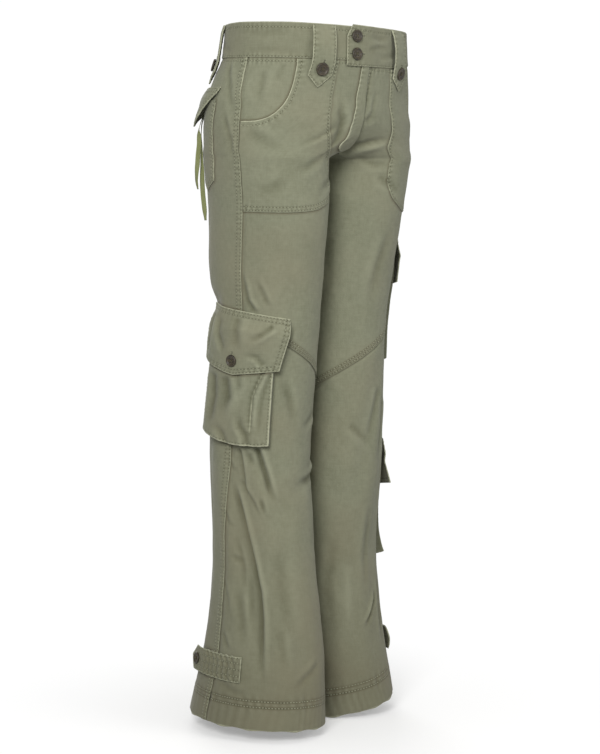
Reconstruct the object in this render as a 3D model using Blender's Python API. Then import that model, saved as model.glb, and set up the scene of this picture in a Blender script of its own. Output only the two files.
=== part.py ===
# Cargo trousers: one wearer-less garment, waist ring at the origin, front facing -Y,
# the wearer's right at -X. All tables are in millimetres and degrees.
import math

import bmesh
import bpy
from mathutils import Vector

MM = 0.001
RIGHT, LEFT = -1, 1

for old in list(bpy.data.objects):
    bpy.data.objects.remove(old, do_unlink=True)
for old in list(bpy.data.collections):
    bpy.data.collections.remove(old)
garment = bpy.data.collections.new("cargo_trousers")
bpy.context.scene.collection.children.link(garment)

# Named sizes
CLOTH = 1.6
DOUBLE_CLOTH = 2.2
HEM_CLOTH = 3.2
SEAM_GAP = 0.3
WAIST_TOP, WAIST_BOTTOM = -7.5, -55.0
LAP_DROP = 8.0
LAP_REACH = 15.5
CROTCH_TOP = -120.0
KNEE_MIDDLE, KNEE_SLOPE = -487.5, 0.78
BUTTON_ACROSS, BUTTON_THICK = 19.0, 3.4

# The tables' zero lies this far from the middle of the waist ring, which is the origin.
LEVEL, FORWARD = 7.5, 37.5

# Garment sections. A row holds one level: the half width and half depth of an oval on each
# half, its centre out from the middle plane, its centre front to back on each half, and how
# much lower the front lies than the back.
SECTION_COLUMNS = ("z", "half_width", "half_depth", "centre_x", "right_y", "left_y", "front_drop")
SECTIONS = (
    (0.0, 151.5, 109.5, 0.0, -37.5, -37.5, 8.0),
    (-55.0, 157.0, 112.0, 0.0, -36.0, -36.0, 8.0),
    (-85.0, 166.0, 116.5, 0.0, -27.5, -27.5, 6.0),
    (-120.0, 174.5, 121.0, 0.0, -19.0, -19.0, 3.0),
    (-140.0, 167.5, 118.0, 8.5, -19.0, -19.0, 1.5),
    (-160.0, 146.5, 113.0, 28.5, -18.5, -18.5, 0.0),
    (-175.0, 123.0, 108.5, 50.0, -18.5, -17.0, 0.0),
    (-185.0, 106.0, 105.5, 66.0, -18.5, -16.5, 0.0),
    (-192.0, 94.0, 103.5, 77.0, -19.0, -16.5, 0.0),
    (-200.0, 83.3, 102.0, 85.8, -20.5, -16.0, 0.0),
    (-260.0, 81.0, 99.3, 83.0, -21.0, -11.0, 0.0),
    (-360.0, 78.5, 93.0, 80.5, -14.0, 0.5, 0.0),
    (-430.0, 75.0, 86.5, 78.5, -12.0, 6.5, 0.0),
    (-500.0, 74.0, 83.5, 77.5, -5.5, 8.5, 0.0),
    (-640.0, 72.0, 82.5, 80.0, 3.5, 10.5, 0.0),
    (-780.0, 71.5, 86.5, 78.0, -1.0, 25.0, 0.0),
    (-920.0, 79.5, 103.0, 81.5, -6.0, 32.5, 0.0),
    (-1040.0, 88.0, 120.5, 90.0, -0.5, 33.0, 0.0),
)

# Folds: from (phi, z) to (phi, z), half width across and depth inwards, a ridge is negative.
FOLD_COLUMNS = ("half", "phi_from", "z_from", "phi_to", "z_to", "half_width", "depth")
FOLDS = (
    (RIGHT, 77, -640, 48, -960, 17, 5.5),
    (RIGHT, 95, -640, 80, -900, 18, -3.0),
    (RIGHT, 68, -640, 58, -720, 14, 3.0),
    (RIGHT, 46, -635, 18, -730, 14, 4.0),
    (RIGHT, -35, -660, 5, -690, 14, 3.0),
    (RIGHT, 125, -620, 140, -930, 20, 5.0),
    (RIGHT, 108, -410, 160, -420, 18, 8.0),
    (RIGHT, 165, -430, 200, -560, 18, 4.0),
    (RIGHT, 205, -640, 175, -820, 18, 4.0),
    (RIGHT, 20, -780, 5, -1000, 22, 3.0),
    (RIGHT, 150, -215, 215, -260, 18, 4.0),
    (RIGHT, 150, -280, 195, -330, 18, 3.0),
    (RIGHT, 40, -330, 10, -450, 18, 2.5),
    (LEFT, -40, -176, 10, -166, 12, 3.5),
    (LEFT, 15, -520, -20, -700, 18, 3.0),
    (LEFT, 38, -600, 22, -780, 18, 3.0),
    (LEFT, 20, -800, 5, -1000, 22, 3.0),
    (LEFT, 125, -840, 140, -1000, 20, 5.0),
    (LEFT, 165, -430, 200, -560, 18, 4.0),
    (LEFT, 205, -640, 175, -820, 18, 4.0),
    (LEFT, 150, -215, 215, -260, 18, 4.0),
)
FOLD_MM_PER_DEGREE = 1.5

PHI_LINES = tuple(range(-90, 271, 10))
Z_LINES = (
    (2.0, -7.5, -30.0, -55.0, -85.0, -120.0, -140.0, -160.0, -175.0, -185.0, -192.0)
    + (-200.0, -260.0, -320.0, -375.0, -414.0, -450.0, -500.0)
    + tuple(-560.0 - 60.0 * step for step in range(7))
    + (-998.0, -1030.0, -1060.0)
)


def column_slopes(rows, column):
    steps = [
        (rows[k + 1][column] - rows[k][column]) / (rows[k + 1][0] - rows[k][0])
        for k in range(len(rows) - 1)
    ]
    slopes = [steps[0]]
    for before, after in zip(steps, steps[1:]):
        slopes.append(0.0 if before * after <= 0 else 2 * before * after / (before + after))
    return slopes + [steps[-1]]


SECTION_SLOPES = [column_slopes(SECTIONS, column) for column in range(1, 7)]


def section_at(z):
    z = max(min(z, SECTIONS[0][0]), SECTIONS[-1][0])
    k = 0
    while k < len(SECTIONS) - 2 and z < SECTIONS[k + 1][0]:
        k += 1
    span = SECTIONS[k + 1][0] - SECTIONS[k][0]
    t = (z - SECTIONS[k][0]) / span
    values = []
    for column in range(1, 7):
        slopes = SECTION_SLOPES[column - 1]
        values.append(
            (2 * t**3 - 3 * t**2 + 1) * SECTIONS[k][column]
            + (t**3 - 2 * t**2 + t) * span * slopes[k]
            + (-2 * t**3 + 3 * t**2) * SECTIONS[k + 1][column]
            + (t**3 - t**2) * span * slopes[k + 1]
        )
    return values


def fold_depth(half, phi, z):
    total = 0.0
    for row_half, phi_a, z_a, phi_b, z_b, wide, depth in FOLDS:
        if row_half != half:
            continue
        ax, bx, px = (value * FOLD_MM_PER_DEGREE for value in (phi_a, phi_b, phi))
        length = math.hypot(bx - ax, z_b - z_a)
        along = ((px - ax) * (bx - ax) + (z - z_a) * (z_b - z_a)) / length**2
        across = abs((px - ax) * (z_b - z_a) - (z - z_a) * (bx - ax)) / length
        if -0.3 < along < 1.3 and across < 3 * wide:
            ends = max(0.0, min(1.0, (along + 0.3) / 0.5, (1.3 - along) / 0.5))
            total += depth * ends * ends * (3 - 2 * ends) * math.exp(-((across / wide) ** 2))
    return total


def form(half, phi, z):
    a, b, centre_x, right_y, left_y, drop = section_at(z)
    turn = math.radians(phi)
    centre_y = right_y if half == RIGHT else left_y
    inwards = Vector((-half * math.sin(turn) / a, math.cos(turn) / b, 0)).normalized()
    point = Vector(
        (
            half * (centre_x + a * math.sin(turn)),
            centre_y + FORWARD - b * math.cos(turn),
            z + LEVEL - drop * math.cos(turn) / 2,
        )
    )
    return point + inwards * fold_depth(half, phi, z)


def form_normal(half, phi, z):
    around = form(half, phi + 3, z) - form(half, phi - 3, z)
    down = form(half, phi, z - 4) - form(half, phi, z + 4)
    normal = around.cross(down) if half == RIGHT else down.cross(around)
    return normal.normalized()


skin_points = {}


def skin_corner(half, i, j):
    key = (half, i, j)
    if key not in skin_points:
        phi, z = PHI_LINES[i], Z_LINES[j]
        skin_points[key] = (form(half, phi, z), form_normal(half, phi, z))
    return skin_points[key]


def skin(half, phi, z, off=0.0):
    i = min(max(int((phi - PHI_LINES[0]) // 10), 0), len(PHI_LINES) - 2)
    j = 0
    while j < len(Z_LINES) - 2 and z < Z_LINES[j + 1]:
        j += 1
    u = (phi - PHI_LINES[i]) / 10
    v = (Z_LINES[j] - z) / (Z_LINES[j] - Z_LINES[j + 1])
    point, normal = Vector((0, 0, 0)), Vector((0, 0, 0))
    for di, dj, share in (
        (0, 0, (1 - u) * (1 - v)),
        (1, 0, u * (1 - v)),
        (0, 1, (1 - u) * v),
        (1, 1, u * v),
    ):
        corner, corner_normal = skin_corner(half, i + di, j + dj)
        point += corner * share
        normal += corner_normal * share
    return point + normal.normalized() * off


def line_value(points, middle, at):
    for (phi_a, z_a), (phi_b, z_b) in zip(points, points[1:]):
        if phi_a <= middle <= phi_b and phi_b > phi_a:
            return z_a + (z_b - z_a) * (at - phi_a) / (phi_b - phi_a)
    return points[0][1] if middle < points[0][0] else points[-1][1]


def value_at(points, at):
    return line_value(points, at, at)


def cut_level(cell, level, keep_above):
    kept = []
    for k, here in enumerate(cell):
        after = cell[(k + 1) % len(cell)]
        here_in = (here[1] >= level) if keep_above else (here[1] <= level)
        after_in = (after[1] >= level) if keep_above else (after[1] <= level)
        if here_in:
            kept.append(here)
        if here_in != after_in:
            share = (level - here[1]) / (after[1] - here[1])
            kept.append((here[0] + share * (after[0] - here[0]), level))
    return kept


def cells_between(top, bottom, extra_phi=(), extra_z=()):
    # Convex cells of the region under the line `top` and over the line `bottom`, cut on the
    # grid lines that every piece shares, so that a piece lies flat on the one under it.
    own = sorted({phi for phi, _ in top} | {phi for phi, _ in bottom} | set(extra_phi))
    first, last = max(top[0][0], bottom[0][0]), min(top[-1][0], bottom[-1][0])
    own = [phi for phi in own if first - 1e-9 <= phi <= last + 1e-9]
    shared = [
        phi
        for phi in PHI_LINES
        if first < phi < last and min(abs(phi - other) for other in own) > 0.8
    ]
    lines = sorted(set(own + shared))
    levels = sorted(set(Z_LINES) | set(extra_z), reverse=True)
    cells = []
    for left, right in zip(lines, lines[1:]):
        if right - left < 1e-6:
            continue
        middle = (left + right) / 2
        strip = [
            (left, line_value(top, middle, left)),
            (right, line_value(top, middle, right)),
            (right, line_value(bottom, middle, right)),
            (left, line_value(bottom, middle, left)),
        ]
        for upper, lower in zip(levels, levels[1:]):
            cell = cut_level(cut_level(strip, upper, False), lower, True)
            cell = [(round(phi, 3), round(z, 2)) for phi, z in cell]
            cell = [p for k, p in enumerate(cell) if p != cell[k - 1]]
            if len(cell) > 2 and len({z for _, z in cell}) > 1 and len({p for p, _ in cell}) > 1:
                cells.append(cell)
    return cells


def add_object(name, mesh_edit, colour, roughness):
    bmesh.ops.recalc_face_normals(mesh_edit, faces=mesh_edit.faces)
    if mesh_edit.calc_volume(signed=True) < 0:
        bmesh.ops.reverse_faces(mesh_edit, faces=mesh_edit.faces)
    mesh = bpy.data.meshes.new(name)
    mesh_edit.to_mesh(mesh)
    mesh_edit.free()
    made = bpy.data.objects.new(name, mesh)
    garment.objects.link(made)
    material = bpy.data.materials.new(name + "_material")
    material.use_nodes = True
    shader = material.node_tree.nodes["Principled BSDF"]
    linear = [((value / 255 + 0.055) / 1.055) ** 2.4 for value in colour]
    shader.inputs["Base Color"].default_value = (*linear, 1)
    shader.inputs["Roughness"].default_value = roughness
    mesh.materials.append(material)
    return made


CANVAS = (135, 137, 115)
HORN = (71, 66, 47)
TAPE = (130, 135, 95)


def shell(name, cells, place, inner, outer, colour=CANVAS, roughness=0.9):
    # A closed wall: each cell's corners placed at the outer and at the inner distance from
    # the skin, with a rim along the edges that only one cell uses.
    edit = bmesh.new()
    outside, inside, uses = {}, {}, {}
    for cell in cells:
        for key in cell:
            if key not in outside:
                outside[key] = edit.verts.new(place(*key, outer(*key)) * MM)
                inside[key] = edit.verts.new(place(*key, inner(*key)) * MM)
        for k, key in enumerate(cell):
            after = cell[(k + 1) % len(cell)]
            edge = tuple(sorted((key, after)))
            uses.setdefault(edge, []).append((key, after))
    for cell in cells:
        edit.faces.new([outside[key] for key in cell])
        edit.faces.new([inside[key] for key in reversed(cell)])
    for found in uses.values():
        if len(found) == 1:
            key, after = found[0]
            edit.faces.new([outside[after], outside[key], inside[key], inside[after]])
    return add_object(name, edit, colour, roughness)


def on(half):
    return lambda phi, z, off: skin(half, phi, z, off)


def meeting_middle(half):
    # Panels stop half a seam gap short of the plane between the two halves.
    def place(phi, z, off):
        point = skin(half, phi, z, off)
        edge = SEAM_GAP / 2
        at_seam = z > -199.9 and abs(skin(half, phi, z).x) < 0.8
        if half * point.x < edge or (at_seam and off > -0.1):
            point.x = half * edge
        return point

    return place


def flat(distance):
    return lambda phi, z: distance


def stepped(points):
    # Distance from the skin as a line over z, points listed from the top down.
    def distance(_phi, z):
        for (z_a, off_a), (z_b, off_b) in zip(points, points[1:]):
            if z_a >= z >= z_b:
                return off_a + (off_b - off_a) * (z - z_a) / (z_b - z_a)
        return points[0][1] if z > points[0][0] else points[-1][1]

    return distance


def plus(distance, more):
    return lambda phi, z: distance(phi, z) + more


# Seam lines in (phi, z)
def crotch_level(phi):
    low, high = -199.99, -120.0
    for _ in range(40):
        middle = (low + high) / 2
        if skin(RIGHT, phi, middle).x < 0:
            low = middle
        else:
            high = middle
    return round(low, 4)


CROTCH_PHI = (-1.5, -2.9, -7.0, -11.4, -17.0, -24.0, -30.0, -38.4, -45.0, -54.7, -60.0, -70.0, -80.0, -89.9)
crotch_line = [(0.0, CROTCH_TOP)] + [(phi, crotch_level(phi)) for phi in CROTCH_PHI]
front_rise = list(reversed(crotch_line))
back_rise = [(180 - phi, z) for phi, z in crotch_line]
side_lower = [(72.0, -431.0), (80.0, -640.0), (90.0, -760.0)]
hold = 0.1
half_gap = SEAM_GAP / 2 + 0.02


def knee(phi):
    return KNEE_MIDDLE + KNEE_SLOPE * phi


def waist_line(half):
    drop = LAP_DROP if half == LEFT else 0.0
    return [
        (0.0, WAIST_BOTTOM - drop),
        (20.0, WAIST_BOTTOM - drop),
        (60.0, WAIST_BOTTOM),
        (180.0, WAIST_BOTTOM),
    ]


def panel_inner(phi, z):
    return -HEM_CLOTH if z < -1010.0 else -CLOTH


# Hem lines: the height of each leg's lower edge round the leg.
HEM_LINES = {
    RIGHT: (
        (-90.0, -1042.0),
        (-30.0, -1040.5),
        (20.0, -1037.0),
        (70.0, -1035.5),
        (130.0, -1034.0),
        (270.0, -1042.0),
    ),
    LEFT: (
        (-90.0, -1054.0),
        (-50.0, -1053.0),
        (-20.0, -1043.0),
        (35.0, -1027.5),
        (130.0, -1029.0),
        (270.0, -1054.0),
    ),
}


def hem_part(half, phi_a, phi_b):
    line = HEM_LINES[half]
    inside = [point for point in line if phi_a < point[0] < phi_b]
    return [(phi_a, value_at(line, phi_a))] + inside + [(phi_b, value_at(line, phi_b))]


for half, word in ((RIGHT, "right"), (LEFT, "left")):
    belt = [(phi, z - SEAM_GAP) for phi, z in waist_line(half)]
    top_at_side = value_at(belt, 80.0 - hold)
    front_top = (
        front_rise
        + belt[:3]
        + [(72.0 - hold, value_at(belt, 72.0 - hold)), (80.0 - hold, top_at_side)]
    )
    front_bottom = [
        (-89.9, knee(-89.9) + half_gap),
        (72.0 - hold, knee(72.0) + half_gap),
        (72.0 - hold, -120.0),
        (80.0 - hold, top_at_side - 0.01),
    ]
    place = meeting_middle(half)
    shell(
        f"front_upper_{word}",
        cells_between(front_top, front_bottom),
        place,
        flat(-CLOTH),
        flat(0.0),
    )
    side_end = (99.0, value_at(HEM_LINES[half], 99.0))
    lower_top = [(-89.9, knee(-89.9) - half_gap), (72.0 - hold, knee(72.0) - half_gap)] + [
        (phi - hold, z) for phi, z in side_lower[1:] + [side_end]
    ]
    shell(
        f"front_lower_{word}",
        cells_between(lower_top, hem_part(half, -89.9, 98.9)),
        place,
        panel_inner,
        flat(0.0),
    )
    back_top = (
        [(72.0 + hold, -120.0), (80.0 + hold, value_at(belt, 80.0 + hold) - 0.01)]
        + [(80.0 + hold, value_at(belt, 80.0 + hold)), (180.0, belt[-1][1])]
        + back_rise
    )
    back_bottom = [(phi + hold, z) for phi, z in side_lower] + hem_part(half, 99.1, 269.9)
    shell(
        f"back_{word}",
        cells_between(back_top, back_bottom),
        place,
        panel_inner,
        flat(0.0),
    )

# Waistband: the left half laps over the right one at the front.
BAND_OUT = 0.8
LAP_RISE = BAND_OUT + SEAM_GAP + CLOTH


def right_band_place(phi, z, off):
    point = skin(RIGHT, phi, z, off)
    point.x = min(point.x, -SEAM_GAP / 2)
    return point


def left_band_place(phi, z, off):
    if phi < 0:
        return skin(RIGHT, -phi, z, off)
    point = skin(LEFT, phi, z, off)
    if phi > 179:
        point.x = max(point.x, SEAM_GAP / 2)
    return point


def lap_lift(phi):
    t = max(0.0, min(1.0, (10.0 - phi) / 10.0))
    return LAP_RISE * t


band_top = [(0.0, WAIST_TOP), (20.0, -6.0), (50.0, -4.5), (90.0, -5.0), (112.0, -6.5), (180.0, WAIST_TOP)]
shell(
    "waistband_right",
    cells_between(band_top, [(0.0, WAIST_BOTTOM), (180.0, WAIST_BOTTOM)]),
    right_band_place,
    flat(-CLOTH),
    flat(BAND_OUT),
)
left_band_top = [
    (-LAP_REACH, -13.0),
    (-LAP_REACH + 2.5, -4.0),
    (0.0, -5.5),
    (30.0, -6.5),
    (60.0, -6.5),
    *band_top[3:],
]
left_band_bottom = [(-LAP_REACH, WAIST_BOTTOM - LAP_DROP)] + waist_line(LEFT)
shell(
    "waistband_left",
    cells_between(left_band_top, left_band_bottom, extra_phi=(5.0,)),
    left_band_place,
    lambda phi, z: -CLOTH + lap_lift(phi),
    lambda phi, z: BAND_OUT + lap_lift(phi),
)

# Fly: the left front's lap, a curved strip on the right front.
fly_top = [point for point in front_rise if -39 < point[0]]
fly_top += [(0.0, WAIST_BOTTOM - LAP_DROP - SEAM_GAP), (5.0, WAIST_BOTTOM - LAP_DROP - SEAM_GAP)]
shell(
    "fly",
    cells_between(
        fly_top,
        [
            (-38.4, -188.5),
            (-22.0, -188.0),
            (-10.0, -182.5),
            (-4.0, -169.0),
            (1.0, -153.0),
            (3.5, -135.0),
            (5.0, -110.0),
        ],
    ),
    meeting_middle(RIGHT),
    flat(SEAM_GAP),
    flat(SEAM_GAP + 1.4),
)

# Hip patches: the curved upper edge is the pocket's mouth.
PATCH_CLOTH = 1.3
patch_inner = stepped([(-140.0, SEAM_GAP), (-152.0, 1.1), (-200.0, 1.1), (-215.0, SEAM_GAP)])
patch_outer = plus(patch_inner, PATCH_CLOTH)
mouth = [(43.0, -55.4), (44.5, -100.0), (46.5, -125.0), (52.0, -142.5), (60.0, -147.5), (70.6, -146.5)]
patch_rows = {
    RIGHT: (
        [
            (-33.0, -248.0),
            (-28.0, -203.0),
            (-14.0, -190.5),
            (-1.0, -180.0),
            (7.0, -170.0),
            (12.0, -160.0),
            (20.0, -140.0),
            (20.0, -55.4),
        ],
        [(-33.0, -252.0), (-26.0, -263.0), (-12.0, -271.5), (0.0, -275.5), (30.0, -277.5), (70.6, -277.0)],
    ),
    LEFT: (
        [(-8.0, -230.0), (-4.0, -190.0), (15.0, -164.0), (19.0, -140.0), (19.0, -63.4)],
        [(-8.0, -240.0), (2.0, -258.0), (14.0, -268.0), (28.0, -275.5), (40.0, -277.5), (70.6, -277.0)],
    ),
}
for half, word in ((RIGHT, "right"), (LEFT, "left")):
    inner_edge, lower_edge = patch_rows[half]
    belt = [(phi, z - SEAM_GAP - 0.1) for phi, z in waist_line(half)]
    edge_phi = inner_edge[-1][0]
    top = inner_edge[:-1] + [(edge_phi, value_at(belt, edge_phi))]
    top += [(phi, z) for phi, z in belt if edge_phi < phi < 43.0]
    top += [(43.0, value_at(belt, 43.0))] + mouth[1:]
    shell(f"hip_patch_{word}", cells_between(top, lower_edge), on(half), patch_inner, patch_outer)

# Back pockets and their pointed flaps.
FLAP_LIFT = 0.27
for half, word in ((RIGHT, "right"), (LEFT, "left")):
    shell(
        f"back_pocket_{word}",
        cells_between(
            [(94.0, -116.0), (154.0, -116.0)],
            [(94.0, -121.0), (106.0, -232.0), (124.0, -246.0), (142.0, -232.0), (154.0, -121.0)],
        ),
        on(half),
        flat(SEAM_GAP),
        flat(SEAM_GAP + PATCH_CLOTH),
    )
    flap_inner = stepped([(-98.0, 0.3), (-153.0, 0.3 + FLAP_LIFT * 55)])
    shell(
        f"back_flap_{word}",
        cells_between(
            [(92.5, -98.0), (155.5, -98.0)],
            [(92.5, -107.0), (110.0, -138.0), (124.0, -153.0), (138.0, -138.0), (155.5, -107.0)],
        ),
        on(half),
        flap_inner,
        plus(flap_inner, DOUBLE_CLOTH),
    )

# Belt tabs: a strip from the waistband's top that stands off it and is buttoned below.
TAB_COLUMNS = ("name", "half", "phi_from", "phi_to", "tip_phi", "z_tip", "distances")
front_tab = ((-8, 1.2), (-19, 4.6), (-36, 6.4), (-54, 5.6), (-66, 3.5), (-76, 2.1), (-98, 2.1))
back_tab = ((-8, 1.2), (-18, 3.8), (-34, 5.2), (-54, 5.8), (-68, 4.6), (-80, 3.0), (-98, 3.0))
TABS = (
    ("front_tab_right", RIGHT, 23.0, 36.5, 29.5, -97.5, front_tab),
    ("front_tab_left", LEFT, 20.0, 33.0, 26.5, -97.5, front_tab),
    ("back_tab_right", RIGHT, 112.5, 131.0, 121.5, -94.0, back_tab),
    ("back_tab_left", LEFT, 112.5, 131.0, 121.5, -94.0, back_tab),
)
tab_outer = {}
for name, half, phi_a, phi_b, tip, z_tip, distances in TABS:
    inner = stepped(distances)
    tab_outer[name] = plus(inner, DOUBLE_CLOTH)
    shell(
        name,
        cells_between(
            [(phi_a, WAIST_TOP - 0.5), (phi_b, WAIST_TOP - 0.5)],
            [(phi_a, z_tip + 18), (tip, z_tip), (phi_b, z_tip + 18)],
            extra_z=[z for z, _ in distances[1:-1]],
        ),
        on(half),
        inner,
        tab_outer[name],
    )

# Cargo pockets: a tray with a front, two sides and a bottom, open above under its flap.
POCKET_COLUMNS = (
    "name", "half", "phi_from", "phi_to", "z_top", "z_bottom_front", "z_bottom_back",
    "depth_front", "depth_back", "depth_bottom", "front share", "power",
)
POCKETS = (
    ("cargo_pocket_right", RIGHT, 34.0, 123.5, -454.0, -619.5, -610.0, 12.0, 5.0, 9.0, 0.2, 2),
    ("thigh_pocket_left", LEFT, 56.5, 125.0, -353.0, -507.0, -504.5, 7.7, 7.9, 0.6, 1.0, 2),
    ("calf_pocket_left", LEFT, 57.0, 124.0, -662.0, -815.0, -810.0, 4.0, 5.5, 15.0, 1.0, 4),
)
FLAP_HELD = 36.0
FLAP_COLUMNS = ("name", "top line", "bottom line", "flare at the bottom", "button phi", "button z")
FLAPS = {
    "cargo_pocket_right": (
        "cargo_flap_right",
        ((20.0, -433.0), (104.0, -414.0), (136.0, -411.0)),
        ((20.0, -437.0), (30.0, -507.0), (74.0, -514.0), (126.0, -494.0), (136.0, -424.0)),
        0.0,
        (75.0, -493.0),
    ),
    "thigh_pocket_left": (
        "thigh_flap_left",
        ((52.0, -318.0), (131.0, -314.0)),
        ((52.0, -322.0), (55.0, -384.0), (92.0, -396.0), (127.0, -380.0), (131.0, -320.0)),
        3.0,
        (92.0, -374.0),
    ),
    "calf_pocket_left": (
        "calf_flap_left",
        ((52.0, -630.0), (129.0, -626.0)),
        ((52.0, -634.0), (55.0, -700.0), (91.0, -710.0), (125.0, -694.0), (129.0, -632.0)),
        16.0,
        (91.0, -688.0),
    ),
}


def tray(row):
    name, half, phi_a, phi_b, z_top, z_front, z_back = row[:7]
    deep_front, deep_back, deep_bottom, share_front, power = row[7:]
    inset, wall = 2.0, CLOTH
    middle = (phi_a + phi_b) / 2

    def per_degree(phi):
        return (skin(half, phi + 1, z_top) - skin(half, phi - 1, z_top)).length / 2

    def bottom(phi):
        return z_front + (z_back - z_front) * (phi - phi_a) / (phi_b - phi_a)

    def depth(phi, z):
        t = max(0.0, min(1.0, (phi - middle) / (phi_b - middle)))
        deep = deep_front + (deep_back - deep_front) * t
        down = max(0.0, min(1.0, (z_top - z) / 20.0))
        low = max(0.0, min(1.0, (z_top - z) / (z_top - bottom(phi))))
        side = share_front + (1 - share_front) * t
        return deep * (0.6 + 0.4 * down) + deep_bottom * low**power * side

    inside_phi = [phi for phi in PHI_LINES if phi_a + 2.8 < phi < phi_b - 2.8]
    step_a, step_b = inset / per_degree(phi_a), inset / per_degree(phi_b)
    thick_a, thick_b = wall / per_degree(phi_a), wall / per_degree(phi_b)
    outer_phi = [phi_a, phi_a + step_a] + inside_phi + [phi_b - step_b, phi_b]
    inner_phi = [phi_a + thick_a, phi_a + step_a + thick_a] + inside_phi
    inner_phi += [phi_b - step_b - thick_b, phi_b - thick_b]
    lowest = max(z_front, z_back)
    levels = [z for z in Z_LINES if z_top - 1 > z > lowest + 4]
    if min(abs(z_top - 20 - z) for z in levels) > 5:
        levels.append(z_top - 20)
    levels = [z_top] + sorted(levels, reverse=True)
    count_phi, count_z = len(outer_phi), len(levels) + 2

    def z_of(j, phi, inside):
        if j < len(levels):
            return levels[j]
        lift = wall if inside else 0.0
        return bottom(phi) + lift + (inset if j == len(levels) else 0.0)

    edit = bmesh.new()
    outside, inside = {}, {}
    for i in range(count_phi):
        for j in range(count_z):
            foot = i in (0, count_phi - 1) or j == count_z - 1
            for store, phis, is_inside in ((outside, outer_phi, False), (inside, inner_phi, True)):
                phi = phis[i]
                z = z_of(j, phi, is_inside)
                off = depth(phi, z) - (wall if is_inside else 0.0)
                if foot:
                    off = 0.9 if j == count_z - 1 else SEAM_GAP
                store[i, j] = edit.verts.new(skin(half, phi, z, off) * MM)
    for i in range(count_phi - 1):
        for j in range(count_z - 1):
            square = ((i, j), (i + 1, j), (i + 1, j + 1), (i, j + 1))
            edit.faces.new([outside[key] for key in square])
            edit.faces.new([inside[key] for key in reversed(square)])
    rim = [(i, 0) for i in range(count_phi)]
    rim += [(count_phi - 1, j) for j in range(1, count_z)]
    rim += [(i, count_z - 1) for i in range(count_phi - 2, -1, -1)]
    rim += [(0, j) for j in range(count_z - 2, 0, -1)]
    for key, after in zip(rim, rim[1:] + rim[:1]):
        edit.faces.new([outside[after], outside[key], inside[key], inside[after]])
    add_object(name, edit, CANVAS, 0.9)
    return depth


button_places = []
for row in POCKETS:
    depth = tray(row)
    half = row[1]
    flap_name, flap_top, flap_bottom, flare, button_at = FLAPS[row[0]]

    def inner(phi, z, depth=depth, flap_top=flap_top, flap_bottom=flap_bottom, flare=flare):
        below = max(0.0, value_at(flap_top, phi) - z)
        held = depth(phi, z - 30) + 1.6
        ramp = 26 + 34 * max(0.0, min(1.0, (phi - 80.0) / 45.0))
        lowest = min(z_low for _, z_low in flap_bottom)
        free = max(0.0, (flap_top[0][1] - FLAP_HELD - z) / (flap_top[0][1] - FLAP_HELD - lowest))
        return min(0.3 + below * held / ramp, held) + flare * free

    rows = [flap_top[0][1] - FLAP_HELD * share for share in (1 / 3, 2 / 3, 1)]
    shell(
        flap_name,
        cells_between(list(flap_top), list(flap_bottom), extra_z=rows),
        on(half),
        inner,
        plus(inner, CLOTH),
    )
    button_places.append((flap_name + "_button", on(half), plus(inner, CLOTH), *button_at, 17.5))

# Ankle tabs: ribbed strip low on the outer leg, its point turned to the back.
ANKLE_COLUMNS = ("half", "word", "phi_from", "z_top", "z_bottom", "front_lift")
ANKLES = (
    (RIGHT, "right", 68.0, -932.0, -970.0, 0.0),
    (LEFT, "left", 52.0, -926.0, -964.0, 6.5),
)
for half, word, phi_a, z_top, z_bottom, front_lift in ANKLES:
    z_middle = (z_top + z_bottom) / 2

    def inner(phi, z, front_lift=front_lift, phi_a=phi_a):
        back = max(0.0, (phi - 112.0) / 34.0)
        front = max(0.0, 1.0 - (phi - phi_a) / 14.0)
        ridge = 0.9 if int(round(phi / 5)) % 2 and 78 < phi < 112 else 0.0
        return 0.9 + 8.5 * back**1.5 + front_lift * front + ridge

    outer = plus(inner, DOUBLE_CLOTH)
    shell(
        f"ankle_tab_{word}",
        cells_between(
            [(phi_a, z_top), (137.0, z_top), (146.0, z_middle + 1)],
            [(phi_a, z_bottom), (137.0, z_bottom + 2), (146.0, z_middle + 0.7)],
            extra_phi=(75.0, 85.0, 95.0, 105.0, 112.0, 120.0, 128.0),
            extra_z=(z_middle,),
        ),
        on(half),
        inner,
        outer,
    )
    button_places.append((f"ankle_button_{word}", on(half), outer, 133.0, z_middle + 0.5, 17.0))

for name, half, phi_a, phi_b, tip, z_tip, _ in TABS:
    button_places.append((name + "_button", on(half), tab_outer[name], tip, z_tip + 27.0, BUTTON_ACROSS))
lap_outer = flat(BAND_OUT + LAP_RISE)
button_places.append(("waist_button_upper", on(RIGHT), lap_outer, 9.6, -21.0, 18.0))
button_places.append(("waist_button_lower", on(RIGHT), lap_outer, 9.6, -46.5, 18.0))

# Buttons: a dished disc with a rolled rim, held flat over the highest point under it.
BUTTON_PROFILE = ((0.0, 1.2), (0.55, 1.2), (0.82, BUTTON_THICK), (1.0, 2.0), (0.86, 0.0), (0.0, 0.0))
BUTTON_SEGMENTS = 16


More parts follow.
